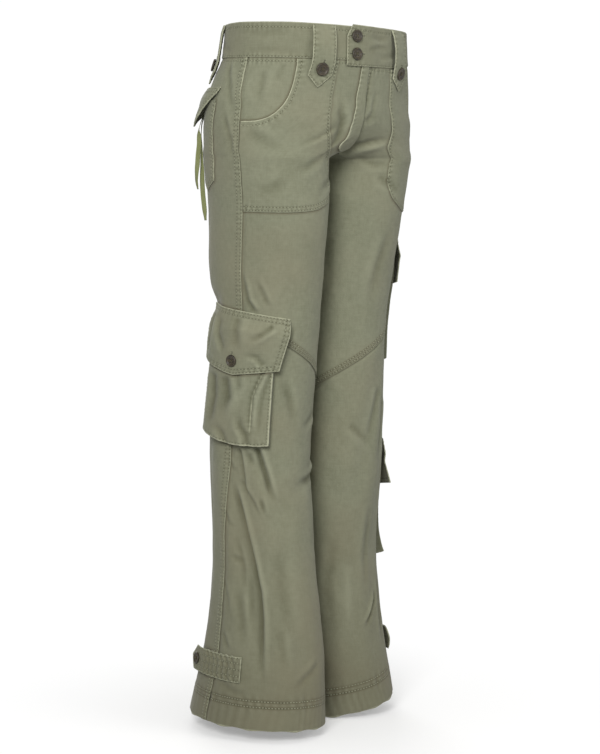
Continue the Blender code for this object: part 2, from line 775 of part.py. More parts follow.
def button(name, place, outer, phi, z, across):
    def surface(at_phi, at_z):
        return place(at_phi, at_z, outer(at_phi, at_z))

    degree = (surface(phi + 1, z) - surface(phi - 1, z)).length / 2
    reach = across / 2
    centre = surface(phi, z)
    wide = surface(phi + 5 / degree, z) - surface(phi - 5 / degree, z)
    tall = surface(phi, z + 6) - surface(phi, z - 6)
    axis = wide.cross(tall).normalized()
    if axis.dot(place(phi, z, 10) - place(phi, z, 0)) < 0:
        axis = -axis
    side = wide.normalized()
    up = axis.cross(side).normalized()
    highest = 0.0
    for k in range(24):
        turn = math.radians(15 * k)
        for share in (0.45, 0.8, 1.0):
            at_phi = phi + share * reach * math.cos(turn) / degree
            at_z = z + share * reach * math.sin(turn)
            highest = max(highest, (surface(at_phi, at_z) - centre).dot(axis))
    base = centre + axis * (highest + SEAM_GAP + 0.2)
    edit = bmesh.new()
    rings = []
    for share, height in BUTTON_PROFILE:
        if share == 0.0:
            rings.append([edit.verts.new((base + axis * height) * MM)])
            continue
        ring = []
        for k in range(BUTTON_SEGMENTS):
            turn = 2 * math.pi * k / BUTTON_SEGMENTS
            spoke = side * math.cos(turn) + up * math.sin(turn)
            ring.append(edit.verts.new((base + spoke * share * reach + axis * height) * MM))
        rings.append(ring)
    for ring_a, ring_b in zip(rings, rings[1:]):
        for k in range(BUTTON_SEGMENTS):
            n = (k + 1) % BUTTON_SEGMENTS
            pair_a = [ring_a[k % len(ring_a)], ring_a[n % len(ring_a)]]
            pair_b = [ring_b[n % len(ring_b)], ring_b[k % len(ring_b)]]
            edit.faces.new(list(dict.fromkeys(pair_a + pair_b)))
    add_object(name, edit, HORN, 0.45)


for row in button_places:
    button(*row)

# Tie tapes of the right back pocket: where each lies over the skin and the turn of its flat.
TAPE_WIDE, TAPE_THICK = 7.0, 1.0
TIE_COLUMNS = ("phi", "z", "off the skin", "turn")
TIES = {
    "tie_outer": (
        (123, -137, 2.45, 0),
        (123, -146, 6.0, 0),
        (123, -157, 8.5, 5),
        (123, -166, 8.0, 60),
        (123, -178, 7.5, 88),
        (123, -192, 7.5, 90),
        (123, -205, 9.0, 75),
        (123, -218, 11.5, 35),
        (123, -231, 13.5, 15),
        (123, -243, 12.5, 10),
    ),
    "tie_inner": (
        (127, -137, 2.45, 0),
        (128, -149, 6.0, 0),
        (129, -165, 5.5, 5),
        (128, -180, 4.2, 10),
        (128, -195, 4.4, 20),
        (127, -210, 5.2, 35),
        (127, -225, 6.6, 65),
        (127, -240, 7.6, 85),
        (127, -256, 7.8, 80),
        (127, -272, 7.2, 60),
        (127, -290, 6.0, 40),
    ),
}
for name, rows in TIES.items():
    edit = bmesh.new()
    rings = []
    for phi, z, off, turn in rows:
        centre = skin(RIGHT, phi, z, off)
        outwards = skin(RIGHT, phi, z, 10) - skin(RIGHT, phi, z, 0)
        outwards.z = 0
        outwards.normalize()
        to_back = Vector((-outwards.y, outwards.x, 0))
        if to_back.y < 0:
            to_back = -to_back
        angle = math.radians(turn)
        wide = to_back * math.cos(angle) + outwards * math.sin(angle)
        thick = outwards * math.cos(angle) - to_back * math.sin(angle)
        rings.append(
            [
                edit.verts.new((centre + wide * TAPE_WIDE / 2 * a + thick * TAPE_THICK / 2 * b) * MM)
                for a, b in ((-1, -1), (1, -1), (1, 1), (-1, 1))
            ]
        )
    for ring_a, ring_b in zip(rings, rings[1:]):
        for k in range(4):
            n = (k + 1) % 4
            edit.faces.new([ring_a[k], ring_a[n], ring_b[n], ring_b[k]])
    edit.faces.new(rings[0])
    edit.faces.new(rings[-1])
    add_object(name, edit, TAPE, 0.85)
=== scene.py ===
# Cargo trousers in washed cotton canvas, filled out as worn with nobody in them.
# The waist ring's middle is the origin, the front faces -Y and the wearer's right is at -X.
import math

import bmesh
import bpy
import numpy as np
from mathutils import Matrix, Vector


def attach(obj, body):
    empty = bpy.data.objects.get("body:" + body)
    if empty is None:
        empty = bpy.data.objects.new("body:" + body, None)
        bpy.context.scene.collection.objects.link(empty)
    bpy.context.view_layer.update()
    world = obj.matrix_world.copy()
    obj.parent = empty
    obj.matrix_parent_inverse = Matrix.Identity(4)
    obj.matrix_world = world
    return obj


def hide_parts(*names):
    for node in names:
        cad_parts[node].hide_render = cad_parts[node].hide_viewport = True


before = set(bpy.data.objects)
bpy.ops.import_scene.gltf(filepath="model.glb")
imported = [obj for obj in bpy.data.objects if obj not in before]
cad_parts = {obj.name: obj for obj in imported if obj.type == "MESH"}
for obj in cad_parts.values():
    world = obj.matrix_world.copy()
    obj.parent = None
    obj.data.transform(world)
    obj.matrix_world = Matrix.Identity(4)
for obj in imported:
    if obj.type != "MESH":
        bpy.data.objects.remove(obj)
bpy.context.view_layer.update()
garment = bpy.data.collections.new("cargoTrousers")
bpy.context.scene.collection.children.link(garment)
right, left = -1, 1
legs = (right, "right"), (left, "left")
print("frame loaded")

# The worn form, in mm and degrees: phi 0 is a leg's front, 90 its outer side, 180 its back

wornForm = {
    "level": 7.5,  # the table's zero lies this far over the origin
    "forward": 37.5,
    "perDegree": 1.5,  # mm, for the folds
    # z, half width, half depth, middle across, middle of the right and left leg front to back, front drop
    "sections": (
        (0, 151.5, 109.5, 0, -37.5, -37.5, 8),
        (-55, 157, 112, 0, -36, -36, 8),
        (-85, 166, 116.5, 0, -27.5, -27.5, 6),
        (-120, 174.5, 121, 0, -19, -19, 3),
        (-140, 167.5, 118, 8.5, -19, -19, 1.5),
        (-160, 146.5, 113, 28.5, -18.5, -18.5, 0),
        (-175, 123, 108.5, 50, -18.5, -17, 0),
        (-185, 106, 105.5, 66, -18.5, -16.5, 0),
        (-192, 94, 103.5, 77, -19, -16.5, 0),
        (-200, 83.3, 102, 85.8, -20.5, -16, 0),
        (-260, 81, 99.3, 83, -21, -11, 0),
        (-360, 78.5, 93, 80.5, -14, 0.5, 0),
        (-430, 75, 86.5, 78.5, -12, 6.5, 0),
        (-500, 74, 83.5, 77.5, -5.5, 8.5, 0),
        (-640, 72, 82.5, 80, 3.5, 10.5, 0),
        (-780, 71.5, 86.5, 78, -1, 25, 0),
        (-920, 79.5, 103, 81.5, -6, 32.5, 0),
        (-1040, 88, 120.5, 90, -0.5, 33, 0),
    ),
    # leg, from phi and z, to phi and z, half width, depth inwards
    "folds": (
        (right, 77, -640, 48, -960, 17, 5.5),
        (right, 95, -640, 80, -900, 18, -3),
        (right, 68, -640, 58, -720, 14, 3),
        (right, 46, -635, 18, -730, 14, 4),
        (right, -35, -660, 5, -690, 14, 3),
        (right, 125, -620, 140, -930, 20, 5),
        (right, 108, -410, 160, -420, 18, 8),
        (right, 165, -430, 200, -560, 18, 4),
        (right, 205, -640, 175, -820, 18, 4),
        (right, 20, -780, 5, -1000, 22, 3),
        (right, 150, -215, 215, -260, 18, 4),
        (right, 150, -280, 195, -330, 18, 3),
        (right, 40, -330, 10, -450, 18, 2.5),
        (left, -40, -176, 10, -166, 12, 3.5),
        (left, 15, -520, -20, -700, 18, 3),
        (left, 38, -600, 22, -780, 18, 3),
        (left, 20, -800, 5, -1000, 22, 3),
        (left, 125, -840, 140, -1000, 20, 5),
        (left, 165, -430, 200, -560, 18, 4),
        (left, 205, -640, 175, -820, 18, 4),
        (left, 150, -215, 215, -260, 18, 4),
    ),
}

# Creases, listed by leg and by the cloth they are in. Each: half width, depth, ridge beside it (the
# sign says on which side), the shares of its length over which it fades in and out, its points (phi, z).
creases = {
    (right, "cloth"): [
        (4.2, 4.6, 0.9, 0.12, 0.3, (80, -672), (72.5, -702), (66, -738), (61, -770), (57, -797), (52, -836),
         (50.6, -876), (51, -934), (48, -985)),
        (5.5, 2, 0.6, 0.25, 0.4, (75, -826), (70, -880), (68, -926)),
        (4, 1.4, -0.6, 0.3, 0.5, (64, -800), (61, -850), (60, -900)),
        (7, 2, 0.5, 0.3, 0.5, (34, -880), (30, -930), (25, -970)),
        (5, 1.6, 0.6, 0.2, 0.5, (90, -972), (72, -984), (56, -988)),
        (3.4, 3.4, 0.7, 0, 0.4, (68, -628), (66, -650), (64, -674), (62, -701)),
        (4.2, 4.4, 0.8, 0, 0.4, (47, -626), (42, -648), (37.5, -667), (34, -689), (28, -708)),
        (3.4, 3, 0.5, 0.4, 0.5, (46, -694), (42, -726)),
        (6, 4, -0.5, 0, 0.6, (-48, -670), (-34, -674), (-16, -677), (2, -681)),
        (4.5, 2.4, 0.5, 0, 0.6, (57, -634), (52, -652)),
        (2.8, 2.2, 0.6, 0.2, 0.4, (71, -668), (62, -686), (54, -704), (45, -730)),
        (3.2, 2.2, 0.6, 0.3, 0.4, (77, -750), (73, -776), (70, -792), (67, -850)),
        (3, 1.5, 0.6, 0.1, 0.5, (84, -640), (78, -656), (70, -660)),
        (3, 1.4, 0.6, 0.1, 0.5, (88, -720), (84, -736), (76, -744)),
        (3.6, 1.5, 0.6, 0.2, 0.5, (92, -820), (86, -850), (82, -880)),
        (4, 2.4, 0.5, 0.3, 0.5, (81, -783), (76, -789), (68, -796)),
        (3.6, 2.2, 0.5, 0.3, 0.2, (91, -896), (87, -910), (83, -924)),
        (6, 2.2, -0.6, 0.3, 0.5, (-18, -942), (5, -965), (24, -984)),
        (11, 1.8, 0.5, 0.3, 0.4, (30, -760), (26, -840), (22, -920)),
        (4.6, 2, 0.5, 0.1, 0.4, (97, -62), (84, -100), (76, -136)),
        (4, 2, 0.5, 0.3, 0.5, (86, -128), (80, -170), (77, -215)),
        (5.5, 1.6, 0.5, 0.3, 0.4, (64, -70), (61, -100), (60, -128)),
        (5, 1.3, -0.5, 0.2, 0.5, (52, -62), (54, -95)),
        (8, 1.6, 0.5, 0.1, 0.6, (66, -160), (50, -180), (32, -190)),
        (8, 1.4, -0.5, 0.3, 0.5, (30, -232), (44, -244), (62, -250)),
        (3.6, 3, 0.7, 0.5, 0.1, (72, -360), (66, -406), (57, -425)),
        (3.6, 2, 0.6, 0.5, 0.15, (58, -372), (48, -402), (44, -416)),
        (5, 1.6, 0.5, 0.2, 0.6, (8, -150), (16, -172), (30, -186)),
        (6, 2, 0.5, 0.1, 0.6, (-14, -196), (8, -214), (26, -222)),
        (6, 2, 0.5, 0.1, 0.6, (-45, -222), (-20, -240), (0, -250)),
        (7, 2.2, 0.5, 0.3, 0.5, (24, -520), (12, -560), (4, -600)),
        (6, 2.4, 0.5, 0.1, 0.6, (-45, -575), (-20, -590), (-2, -598)),
        (5, 2, 0.5, 0.1, 0.6, (-55, -640), (-35, -652)),
        (5, 1.6, 0.5, 0.3, 0.4, (14, -440), (22, -470), (30, -488)),
        (5, 3.4, 0.6, 0.4, 0.1, (16, -106), (13, -134), (4, -162), (-8, -184)),
    ],
    (left, "cloth"): [
        (2.4, 1.8, 0.7, 0.05, 0.3, (3, -64), (1, -113), (-6, -152), (-14, -168)),
        (3, 1.3, 0.6, 0.3, 0.3, (8, -96), (5, -130), (-5, -158)),
        (3.6, 3.2, 0.8, 0, 0.45, (-46, -187), (-28, -181), (-16, -177.6), (16, -166.5)),
        (4, 1.4, 0.5, 0.1, 0.6, (-12, -150), (0, -142), (10, -138)),
        (5, 1.8, 0.5, 0.1, 0.6, (-40, -200), (-24, -208), (-4, -206)),
        (6, 2, 0.5, 0.1, 0.6, (-20, -225), (6, -246), (16, -256)),
        (9, 2.2, 0.5, 0.3, 0.5, (6, -300), (-4, -360), (-8, -430)),
        (7, 2.2, 0.5, 0.1, 0.5, (20, -545), (10, -580), (-6, -640)),
        (7, 2.4, -0.5, 0.1, 0.5, (34, -560), (28, -610), (16, -680)),
        (6, 2.2, 0.5, 0.1, 0.6, (-30, -600), (-10, -622), (4, -640)),
        (8, 2, 0.5, 0.3, 0.5, (10, -720), (2, -800), (0, -880)),
        (3.8, 3.8, 0.8, 0.3, 0.4, (22, -860), (17, -879), (1, -906), (-8, -920)),
        (9, -2, 0, 0.3, 0.4, (-23, -800), (-25, -860), (-27, -940)),
        (7, 2.4, 0.5, 0.2, 0.4, (36, -840), (30, -900), (24, -960)),
    ],
    (right, "band"): [
        (2.4, 1.2, 0.6, 0, 0.3, (12, -19.5), (6.8, -17.5), (1.7, -19.6)),
        (5, 1, 0.5, 0.3, 0.5, (42, -50), (60, -45), (84, -47)),
        (6, 0.9, 0.5, 0.3, 0.5, (48, -16), (70, -22), (92, -18)),
        (5, 1.2, 0.5, 0.2, 0.5, (96, -48), (112, -38), (126, -20)),
    ],
    (left, "band"): [
        (3.4, 1.2, 0.6, 0.1, 0.6, (0, -20), (9, -23), (20, -20)),
        (3.2, 1.3, -0.6, 0, 0.6, (0, -39), (8, -35), (20, -36)),
        (4, 1.1, 0.6, 0.2, 0.6, (6, -50), (20, -46), (38, -48)),
        (4, 1, 0.6, 0.2, 0.6, (34, -14), (44, -26), (48, -40)),
    ],
    (right, "cargoPocketRightFlap"): [
        (3.4, 3.9, 0.7, 0.1, 0.5, (37.5, -441), (45, -450), (53.5, -460), (61, -466)),
        (6, 2.7, 0.5, 0.1, 0.4, (75, -430), (73, -455), (70.5, -480)),
        (5, 2.7, -0.6, 0.2, 0.3, (99, -428), (95, -456), (84, -484)),
        (4, 2.1, 0.6, 0.1, 0.5, (44, -500), (52, -486), (66, -484)),
        (7, 3.6, 0.4, 0.1, 0.3, (118, -425), (116, -460), (120, -490)),
    ],
    (right, "cargoPocketRight"): [
        (2.4, 3.3, 0.7, 0, 0.2, (44, -506), (50, -528), (53.6, -544), (54.4, -570), (53.8, -598)),
        (2.6, 2.25, -0.7, 0, 0.3, (38, -514), (42, -530), (45, -552), (46.6, -606)),
        (4, 3.3, 0.6, 0, 0.5, (57, -614), (58, -604), (64, -590), (66, -570)),
        (8, 3.9, 0.6, 0.1, 0.5, (84, -516), (80, -548), (90, -580)),
        (8, 3.9, -0.5, 0.1, 0.3, (104, -512), (100, -550), (106, -596)),
        (5, 2.4, 0.6, 0, 0.5, (70, -512), (68, -530), (72, -548)),
        (5, 3, 0.6, 0, 0.6, (80, -618), (86, -600), (98, -588)),
    ],
    (left, "thighPocketLeftFlap"): [
        (5, 2, 0.6, 0.1, 0.4, (62, -324), (68, -350), (66, -380)),
        (5, 1.8, -0.6, 0.2, 0.4, (106, -324), (103, -350), (110, -378)),
    ],
    (left, "thighPocketLeft"): [
        (3, 2, 0.7, 0, 0.3, (66, -390), (72, -430), (68, -500)),
        (5, 2.2, -0.6, 0, 0.4, (112, -385), (108, -430), (112, -500)),
        (7, 2, 0.5, 0.2, 0.5, (84, -400), (92, -440), (88, -480)),
    ],
    (left, "calfPocketLeftFlap"): [
        (5, 2.2, 0.6, 0.1, 0.4, (64, -636), (70, -660), (66, -696)),
        (5, 2, -0.6, 0.1, 0.4, (110, -636), (106, -662), (114, -692)),
    ],
    (left, "calfPocketLeft"): [
        (3, 2, 0.7, 0, 0.3, (68, -705), (74, -740), (70, -806)),
        (5, 2.4, -0.6, 0, 0.4, (108, -700), (104, -745), (110, -800)),
        (7, 2.2, 0.5, 0.2, 0.5, (86, -710), (92, -750), (86, -790)),
    ],
}
for leg in (right, left):  # the hidden sides crease in the same way, not alike
    push = 4 if leg == right else -5
    creases[leg, "cloth"] += [
        (6, 2.4, 0.4, 0.1, 0.5, (150 + push, -205), (180, -232), (205, -246)),
        (6, 2, -0.4, 0.2, 0.5, (160, -246 + push), (190, -262), (222, -268)),
        (5, 1.8, 0.4, 0.2, 0.4, (200, -205), (226, -222 + push), (246, -226)),
        (7, 1.8, 0.4, 0.2, 0.5, (140, -270), (165, -300), (176 + push, -330)),
        (5.5, 3, 0.5, 0.1, 0.3, (150, -430), (176, -452 + push), (210, -458)),
        (5, 2.4, -0.5, 0.2, 0.3, (160, -462), (186, -480), (214 + push, -482)),
        (6, 2.2, 0.5, 0.2, 0.4, (146, -480), (170, -508), (196, -520 + push)),
        (6, 1.8, 0.4, 0.2, 0.5, (210, -470), (232, -500), (240, -540)),
        (7, 2, 0.4, 0.2, 0.5, (150, -560), (160 + push, -620), (156, -700)),
        (8, 2, 0.4, 0.2, 0.5, (196, -560), (190, -640 + push), (200, -720)),
        (8, 2.2, 0.4, 0.2, 0.4, (170, -740), (178 + push, -830), (172, -930)),
        (8, 2, 0.4, 0.2, 0.4, (222, -700), (214, -800 + push), (220, -900)),
        (7, 1.8, 0.4, 0.2, 0.5, (128, -700), (134, -780), (130 + push, -860)),
        (7, 1.5, 0.4, 0.2, 0.5, (246, -300), (240, -380 + push), (248, -440)),
        (7, 1.5, 0.4, 0.2, 0.5, (-62, -300), (-58, -380 + push), (-64, -440)),
        (8, 1.8, 0.4, 0.2, 0.5, (-40, -760), (-46, -860), (-40, -960)),
    ]

table = np.array(wornForm["sections"], float)
steps = np.diff(table[:, 1:], axis=0) / np.diff(table[:, 0])[:, None]
product = steps[:-1] * steps[1:]
between = np.where(product > 0, 2 * product / np.where(product > 0, steps[:-1] + steps[1:], 1), 0)
slopes = np.vstack([steps[:1], between, steps[-1:]])


def sectionAt(z):
    z = np.clip(z, table[-1, 0], table[0, 0])
    k = np.clip(np.searchsorted(-table[:, 0], -z, side="right") - 1, 0, len(table) - 2)
    span = (table[k + 1, 0] - table[k, 0])[:, None]
    t = ((z - table[k, 0]) / span[:, 0])[:, None]
    return (
        (2 * t**3 - 3 * t**2 + 1) * table[k, 1:]
        + (t**3 - 2 * t**2 + t) * span * slopes[k]
        + (3 * t**2 - 2 * t**3) * table[k + 1, 1:]
        + (t**3 - t**2) * span * slopes[k + 1]
    ).T


def perDegree(z):  # mm of cloth in one degree, there
    halfWide, halfDeep = sectionAt(z)[:2]
    return np.radians(np.hypot(halfWide, halfDeep) / math.sqrt(2))


def smooth(t):
    t = np.clip(t, 0.0, 1.0)
    return t * t * (3 - 2 * t)


def nearLine(phi, z, line):
    # distance in mm to a line of (phi, z) points, how far along it that is, the side, the whole length
    scale = perDegree(z)
    nearest = np.full(phi.shape, 1e9)
    along, side, start = np.zeros(phi.shape), np.ones(phi.shape), np.zeros(phi.shape)
    for (phiA, zA), (phiB, zB) in zip(line, line[1:]):
        dx, dz = (phiB - phiA) * scale, zB - zA
        size = dx * dx + dz * dz + 1e-9
        px, pz = (phi - phiA) * scale, z - zA
        t = np.clip((px * dx + pz * dz) / size, 0, 1)
        away = np.hypot(px - t * dx, pz - t * dz)
        closer = away < nearest
        nearest = np.where(closer, away, nearest)
        along = np.where(closer, start + t * np.sqrt(size), along)
        side = np.where(closer, np.sign(px * dz - pz * dx), side)
        start = start + np.sqrt(size)
    return nearest, along, side, start


def plainForm(half, phi, z):
    a, b, middle, rightY, leftY, drop = sectionAt(z)
    turn = np.radians(phi)
    inX, inY = -half * np.sin(turn) / a, np.cos(turn) / b
    size = np.hypot(inX, inY)
    depth, scale = np.zeros(phi.shape), wornForm["perDegree"]
    for leg, phiA, zA, phiB, zB, wide, deep in wornForm["folds"]:
        if leg == half:
            ax, az, bx, bz = phiA * scale, zA, phiB * scale, zB
            length = math.hypot(bx - ax, bz - az)
            along = ((phi * scale - ax) * (bx - ax) + (z - az) * (bz - az)) / length**2
            across = np.abs((phi * scale - ax) * (bz - az) - (z - az) * (bx - ax)) / length
            ends = smooth(np.minimum(along + 0.3, 1.3 - along) / 0.5)
            depth += deep * ends * np.exp(-((across / wide) ** 2)) * (across < 3 * wide)
    return np.stack(
        [
            half * (middle + a * np.sin(turn)) + inX / size * depth,
            (rightY if half == right else leftY) + wornForm["forward"] - b * np.cos(turn) + inY / size * depth,
            z + wornForm["level"] - drop * np.cos(turn) / 2,
        ],
        axis=-1,
    )


creaseForm = {"reach": 4.5, "ridgeAt": 1.7}  # in half widths


def creaseAt(half, kind, phi, z):
    total = np.zeros(phi.shape)
    for wide, deep, ridge, fadeIn, fadeOut, *points in creases.get((half, kind), ()):
        phis, levels = [p for p, _ in points], [q for _, q in points]
        reach = creaseForm["reach"] * wide
        close = (z < max(levels) + reach) & (z > min(levels) - reach)
        close &= (phi < max(phis) + reach) & (phi > min(phis) - reach)
        if not close.any():
            continue
        away, along, side, length = nearLine(phi[close], z[close], points)
        share = along / length
        fade = (smooth(share / fadeIn) if fadeIn else 1.0) * smooth((1 - share) / fadeOut)
        beside = side * away * (1 if ridge > 0 else -1) - creaseForm["ridgeAt"] * wide
        valley = np.exp(-((away / wide) ** 2)) - abs(ridge) * np.exp(-((beside / wide) ** 2))
        total[close] += deep * valley * fade
    return total


unevenness = {
    # the last value is how strongly the hem's waves are painted, shade in their hollows and light on their crests
    "large": 0.32, "middle": 0.26, "small": 0.24, "hem": 0.42, "hemFrom": -990, "hemPaintedShade": 1.8,
    "apart": 211,  # so that the legs aren't alike
}


def uneven(half, phi, z):  # cloth is never quite smooth between its creases, least of all at a washed hem
    x = phi * perDegree(z) + (0 if half == right else unevenness["apart"])
    hem = smooth((unevenness["hemFrom"] - z) / 14) * np.sin(x / 2.2 + 2.6 * np.sin(x / 31) + z / 9)
    hem = hem * (0.5 + 0.5 * np.sin(x / 23) * np.sin(x / 12.5 + 1))
    soft = unevenness["large"] * np.sin(x / 17 + z / 31) * np.sin(z / 43 - x / 61 + 1.2)
    soft += unevenness["middle"] * np.sin(x / 9.5 - z / 19 + 2.1) * np.sin(x / 37 + z / 27)
    small = unevenness["small"] * np.sin(x / 5.1 + z / 12.7 + np.sin(z / 21)) * np.sin(z / 16.3 - x / 24)
    return soft + unevenness["hem"] * hem + small, hem


def lay(half, phi, z, off=0.0, kind="cloth"):  # the points, the way out of the cloth, how deep its creases are
    phi, z = np.atleast_1d(np.asarray(phi, float)), np.atleast_1d(np.asarray(z, float))
    around = plainForm(half, phi + 3, z) - plainForm(half, phi - 3, z)
    down = plainForm(half, phi, z - 4) - plainForm(half, phi, z + 4)
    normal = np.cross(around, down) * -half
    normal /= np.linalg.norm(normal, axis=1)[:, None]
    crease = creaseAt(half, kind, phi, z)
    waves, rope = uneven(half, phi, z)
    points = plainForm(half, phi, z) + normal * (off - crease + waves)[:, None]
    # the third value is painted as light and shade: creases darker, the hem's wave crests lighter and its hollows
    # darker
    return points, normal, crease - unevenness["hemPaintedShade"] * rope


def onLeg(half, kind="cloth"):
    return lambda phi, z, off: lay(half, phi, z, off, kind)


def toMiddle(half, kind="cloth"):  # panels that meet at the middle seam
    def place(phi, z, off):
        point, normal, crease = lay(half, phi, z, off, kind)
        plain = plainForm(half, phi, z)[:, 0]
        atSeam = (half * point[:, 0] < -0.1) | ((z > -199.9) & (np.abs(plain) < 0.8))
        point[:, 0] = np.where(atSeam, half * -0.1, point[:, 0])
        return point, normal, crease

    return place


# Camera

cameraView = {
    "place": (-2.0500, -2.2019, -0.2642), "along": (0.6728, 0.7350, -0.0844), "lens": 95.31, "sensor": 36,
}
camera = bpy.data.objects.new("camera", bpy.data.cameras.new("camera"))
bpy.context.scene.collection.objects.link(camera)
camera.data.lens, camera.data.sensor_width = cameraView["lens"], cameraView["sensor"]
camera.location = cameraView["place"]
camera.rotation_euler = Vector(cameraView["along"]).to_track_quat("-Z", "Y").to_euler()
bpy.context.scene.camera = camera

# Materials


def tint(code):  # an sRGB hex value as linear colour
    parts = [int(code[i : i + 2], 16) / 255 for i in (1, 3, 5)]
    return (*(p / 12.92 if p <= 0.04045 else ((p + 0.055) / 1.055) ** 2.4 for p in parts), 1)


def addNode(tree, kind, values=None, links=None, **settings):
    node = tree.nodes.new("ShaderNode" + kind)
    for name, value in settings.items():
        setattr(node, name, value)
    for socket, value in (values or {}).items():
        node.inputs[socket].default_value = value
    for socket, source in (links or {}).items():
        tree.links.new(source, node.inputs[socket])
    return node


def newMaterial(name, roughness, colour=None):
    material = bpy.data.materials.new(name)
    material.use_nodes = True
    shader = material.node_tree.nodes["Principled BSDF"]
    shader.inputs["Roughness"].default_value = roughness
    if colour:
        shader.inputs["Base Color"].default_value = tint(colour)
    return material, material.node_tree, shader


canvasLook = {
    "light": "#8B8D77",  # washed khaki green, the raised threads
    "dark": "#585944",
    "warm": "#7C7660",  # where the dye has gone browner in patches, and the brown of the painted shade
    "worn": "#B6B79D",  # folded edges rubbed pale
    "seam": "#3A3A29",  # painted shade in the grooves of stitch rows, beside seams and sewn-on pieces, and towards the hems
    "threadSpacing": 0.0016,  # a real one is 0.5 mm, drawn coarse so that it shows
    "mottle": 0.055,
    # how strongly crease valleys are painted as shade and ridges as highlight
    "creaseShade": -0.14,
}


def washedCanvas(name):
    # Garment-washed cotton twill: matt, faintly mottled, pale where an edge is rubbed, with painted shade in
    # creases, stitch grooves and beside seams and painted highlights on crease ridges
    material, tree, shader = newMaterial(name, 0.92)
    cloth = addNode(tree, "UVMap", uv_map="clothGrain").outputs[0]
    place = addNode(tree, "TexCoord").outputs["Object"]
    twill = addNode(
        tree, "TexWave",
        {"Scale": 0.444 / canvasLook["threadSpacing"], "Distortion": 1.2, "Detail": 1.0, "Detail Scale": 1.5},
        {"Vector": cloth}, wave_type="BANDS", bands_direction="DIAGONAL",
    ).outputs["Fac"]
    slubs = []
    for stretch in ((800, 60, 1), (50, 700, 1)):  # of the warp, of the weft
        threads = addNode(tree, "Mapping", {"Scale": stretch}, {"Vector": cloth}).outputs[0]
        slubs.append(addNode(tree, "TexNoise", {"Scale": 1.0, "Detail": 2.0}, {"Vector": threads}).outputs["Fac"])
    wash, speckle, patches, crumple = (
        addNode(tree, "TexNoise", values, {"Vector": place}).outputs["Fac"] for values in (
            {"Scale": 1 / canvasLook["mottle"], "Detail": 3.0, "Roughness": 0.55},
            {"Scale": 140.0, "Detail": 3.0},
            {"Scale": 9.0, "Detail": 2.0},
            {"Scale": 55.0, "Detail": 3.0, "Distortion": 0.4},
        )
    )
    crease, edge, row, shade = (
        addNode(tree, "Attribute", attribute_name=label).outputs["Fac"]
        for label in ("crease", "edge", "row", "shade")
    )
    sums = []
    for start, terms in (
        (0.62, ((wash, 0.36), (speckle, 0.36), (slubs[0], 0.3), (slubs[1], 0.26), (twill, 0.16))),
        (0.5, ((twill, 0.5), (slubs[0], 0.6), (slubs[1], 0.5))),
    ):
        total, start = None, start - sum(share for _, share in terms) / 2
        for value, share in terms:  # each adds its share times (value - 0.5)
            links = {0: value, 2: total} if total else {0: value}
            total = addNode(tree, "Math", {1: share, 2: start}, links, operation="MULTIPLY_ADD").outputs[0]
        sums.append(total)
    tone, weave = sums
    # painted shade and highlight: the crease attribute darkens crease valleys and lightens ridges and the crests
    # of puckers and of the hem's waves
    tone = addNode(
        tree, "Math", {1: canvasLook["creaseShade"]}, {0: crease, 2: tone}, operation="MULTIPLY_ADD"
    ).outputs[0]
    # groove is painted shade in each row of stitches
    warm, rub, patchy, groove = (
        addNode(tree, "MapRange", values, {"Value": value}).outputs[0] for value, values in (
            (patches, {"From Min": 0.45, "From Max": 0.7, "To Max": 0.35}),
            (edge, {"From Min": 0.4, "From Max": 2.0, "To Min": 0.85, "To Max": 0.0}),
            (speckle, {"From Min": 0.3, "From Max": 0.6, "To Min": 0.45}),
            (row, {"From Min": 0.3, "From Max": 1.5, "To Min": 0.52, "To Max": 0.0}),
        )
    )
    rub = addNode(tree, "Math", None, {0: rub, 1: patchy}, operation="MULTIPLY").outputs[0]
    # the shade attribute is painted shade: it browns the colour and, with the stitch grooves, darkens it towards
    # the seam colour
    warm = addNode(tree, "Math", {1: 0.9}, {0: shade, 2: warm}, operation="MULTIPLY_ADD").outputs[0]
    beside = addNode(tree, "Math", {1: 0.6}, {0: shade}, operation="MULTIPLY").outputs[0]
    body = {6: tint(canvasLook["dark"]), 7: tint(canvasLook["light"])}
    colour = addNode(tree, "Mix", body, {0: tone}, data_type="RGBA").outputs[2]
    for share, key in ((warm, "warm"), (rub, "worn"), (groove, "seam"), (beside, "seam")):
        over = {7: tint(canvasLook[key])}
        colour = addNode(tree, "Mix", over, {0: share, 6: colour}, data_type="RGBA").outputs[2]
    tree.links.new(colour, shader.inputs["Base Color"])
    low = addNode(tree, "Bump", {"Strength": 0.35, "Distance": 0.0016}, {"Height": crumple}).outputs[0]
    relief = {"Height": weave, "Normal": low}
    fine = addNode(tree, "Bump", {"Strength": 0.5, "Distance": 0.0004}, relief).outputs[0]
    tree.links.new(fine, shader.inputs["Normal"])
    for socket, value in (("Sheen Weight", 0.12), ("Sheen Roughness", 0.5), ("Specular IOR Level", 0.2)):
        shader.inputs[socket].default_value = value
    return material


smallLooks = {  # dark and light of each
    "thread": ("#7A7B64", "#A2A389"),
    "horn": ("#1F1B12", "#403621"),
    "tape": ("#62663F", "#8B9060"),
    "ribSpacing": 0.0014,  # of the tape
}


def sewingThread(name):  # spun cotton thread, matt, a shade paler than the cloth
    material, tree, shader = newMaterial(name, 0.85)
    place = addNode(tree, "TexCoord").outputs["Object"]
    ply = addNode(tree, "TexNoise", {"Scale": 900.0, "Detail": 1.0}, {"Vector": place}).outputs["Fac"]
    dark, light = map(tint, smallLooks["thread"])
    colour = addNode(tree, "Mix", {6: dark, 7: light}, {0: ply}, data_type="RGBA").outputs[2]
    tree.links.new(colour, shader.inputs["Base Color"])
    return material


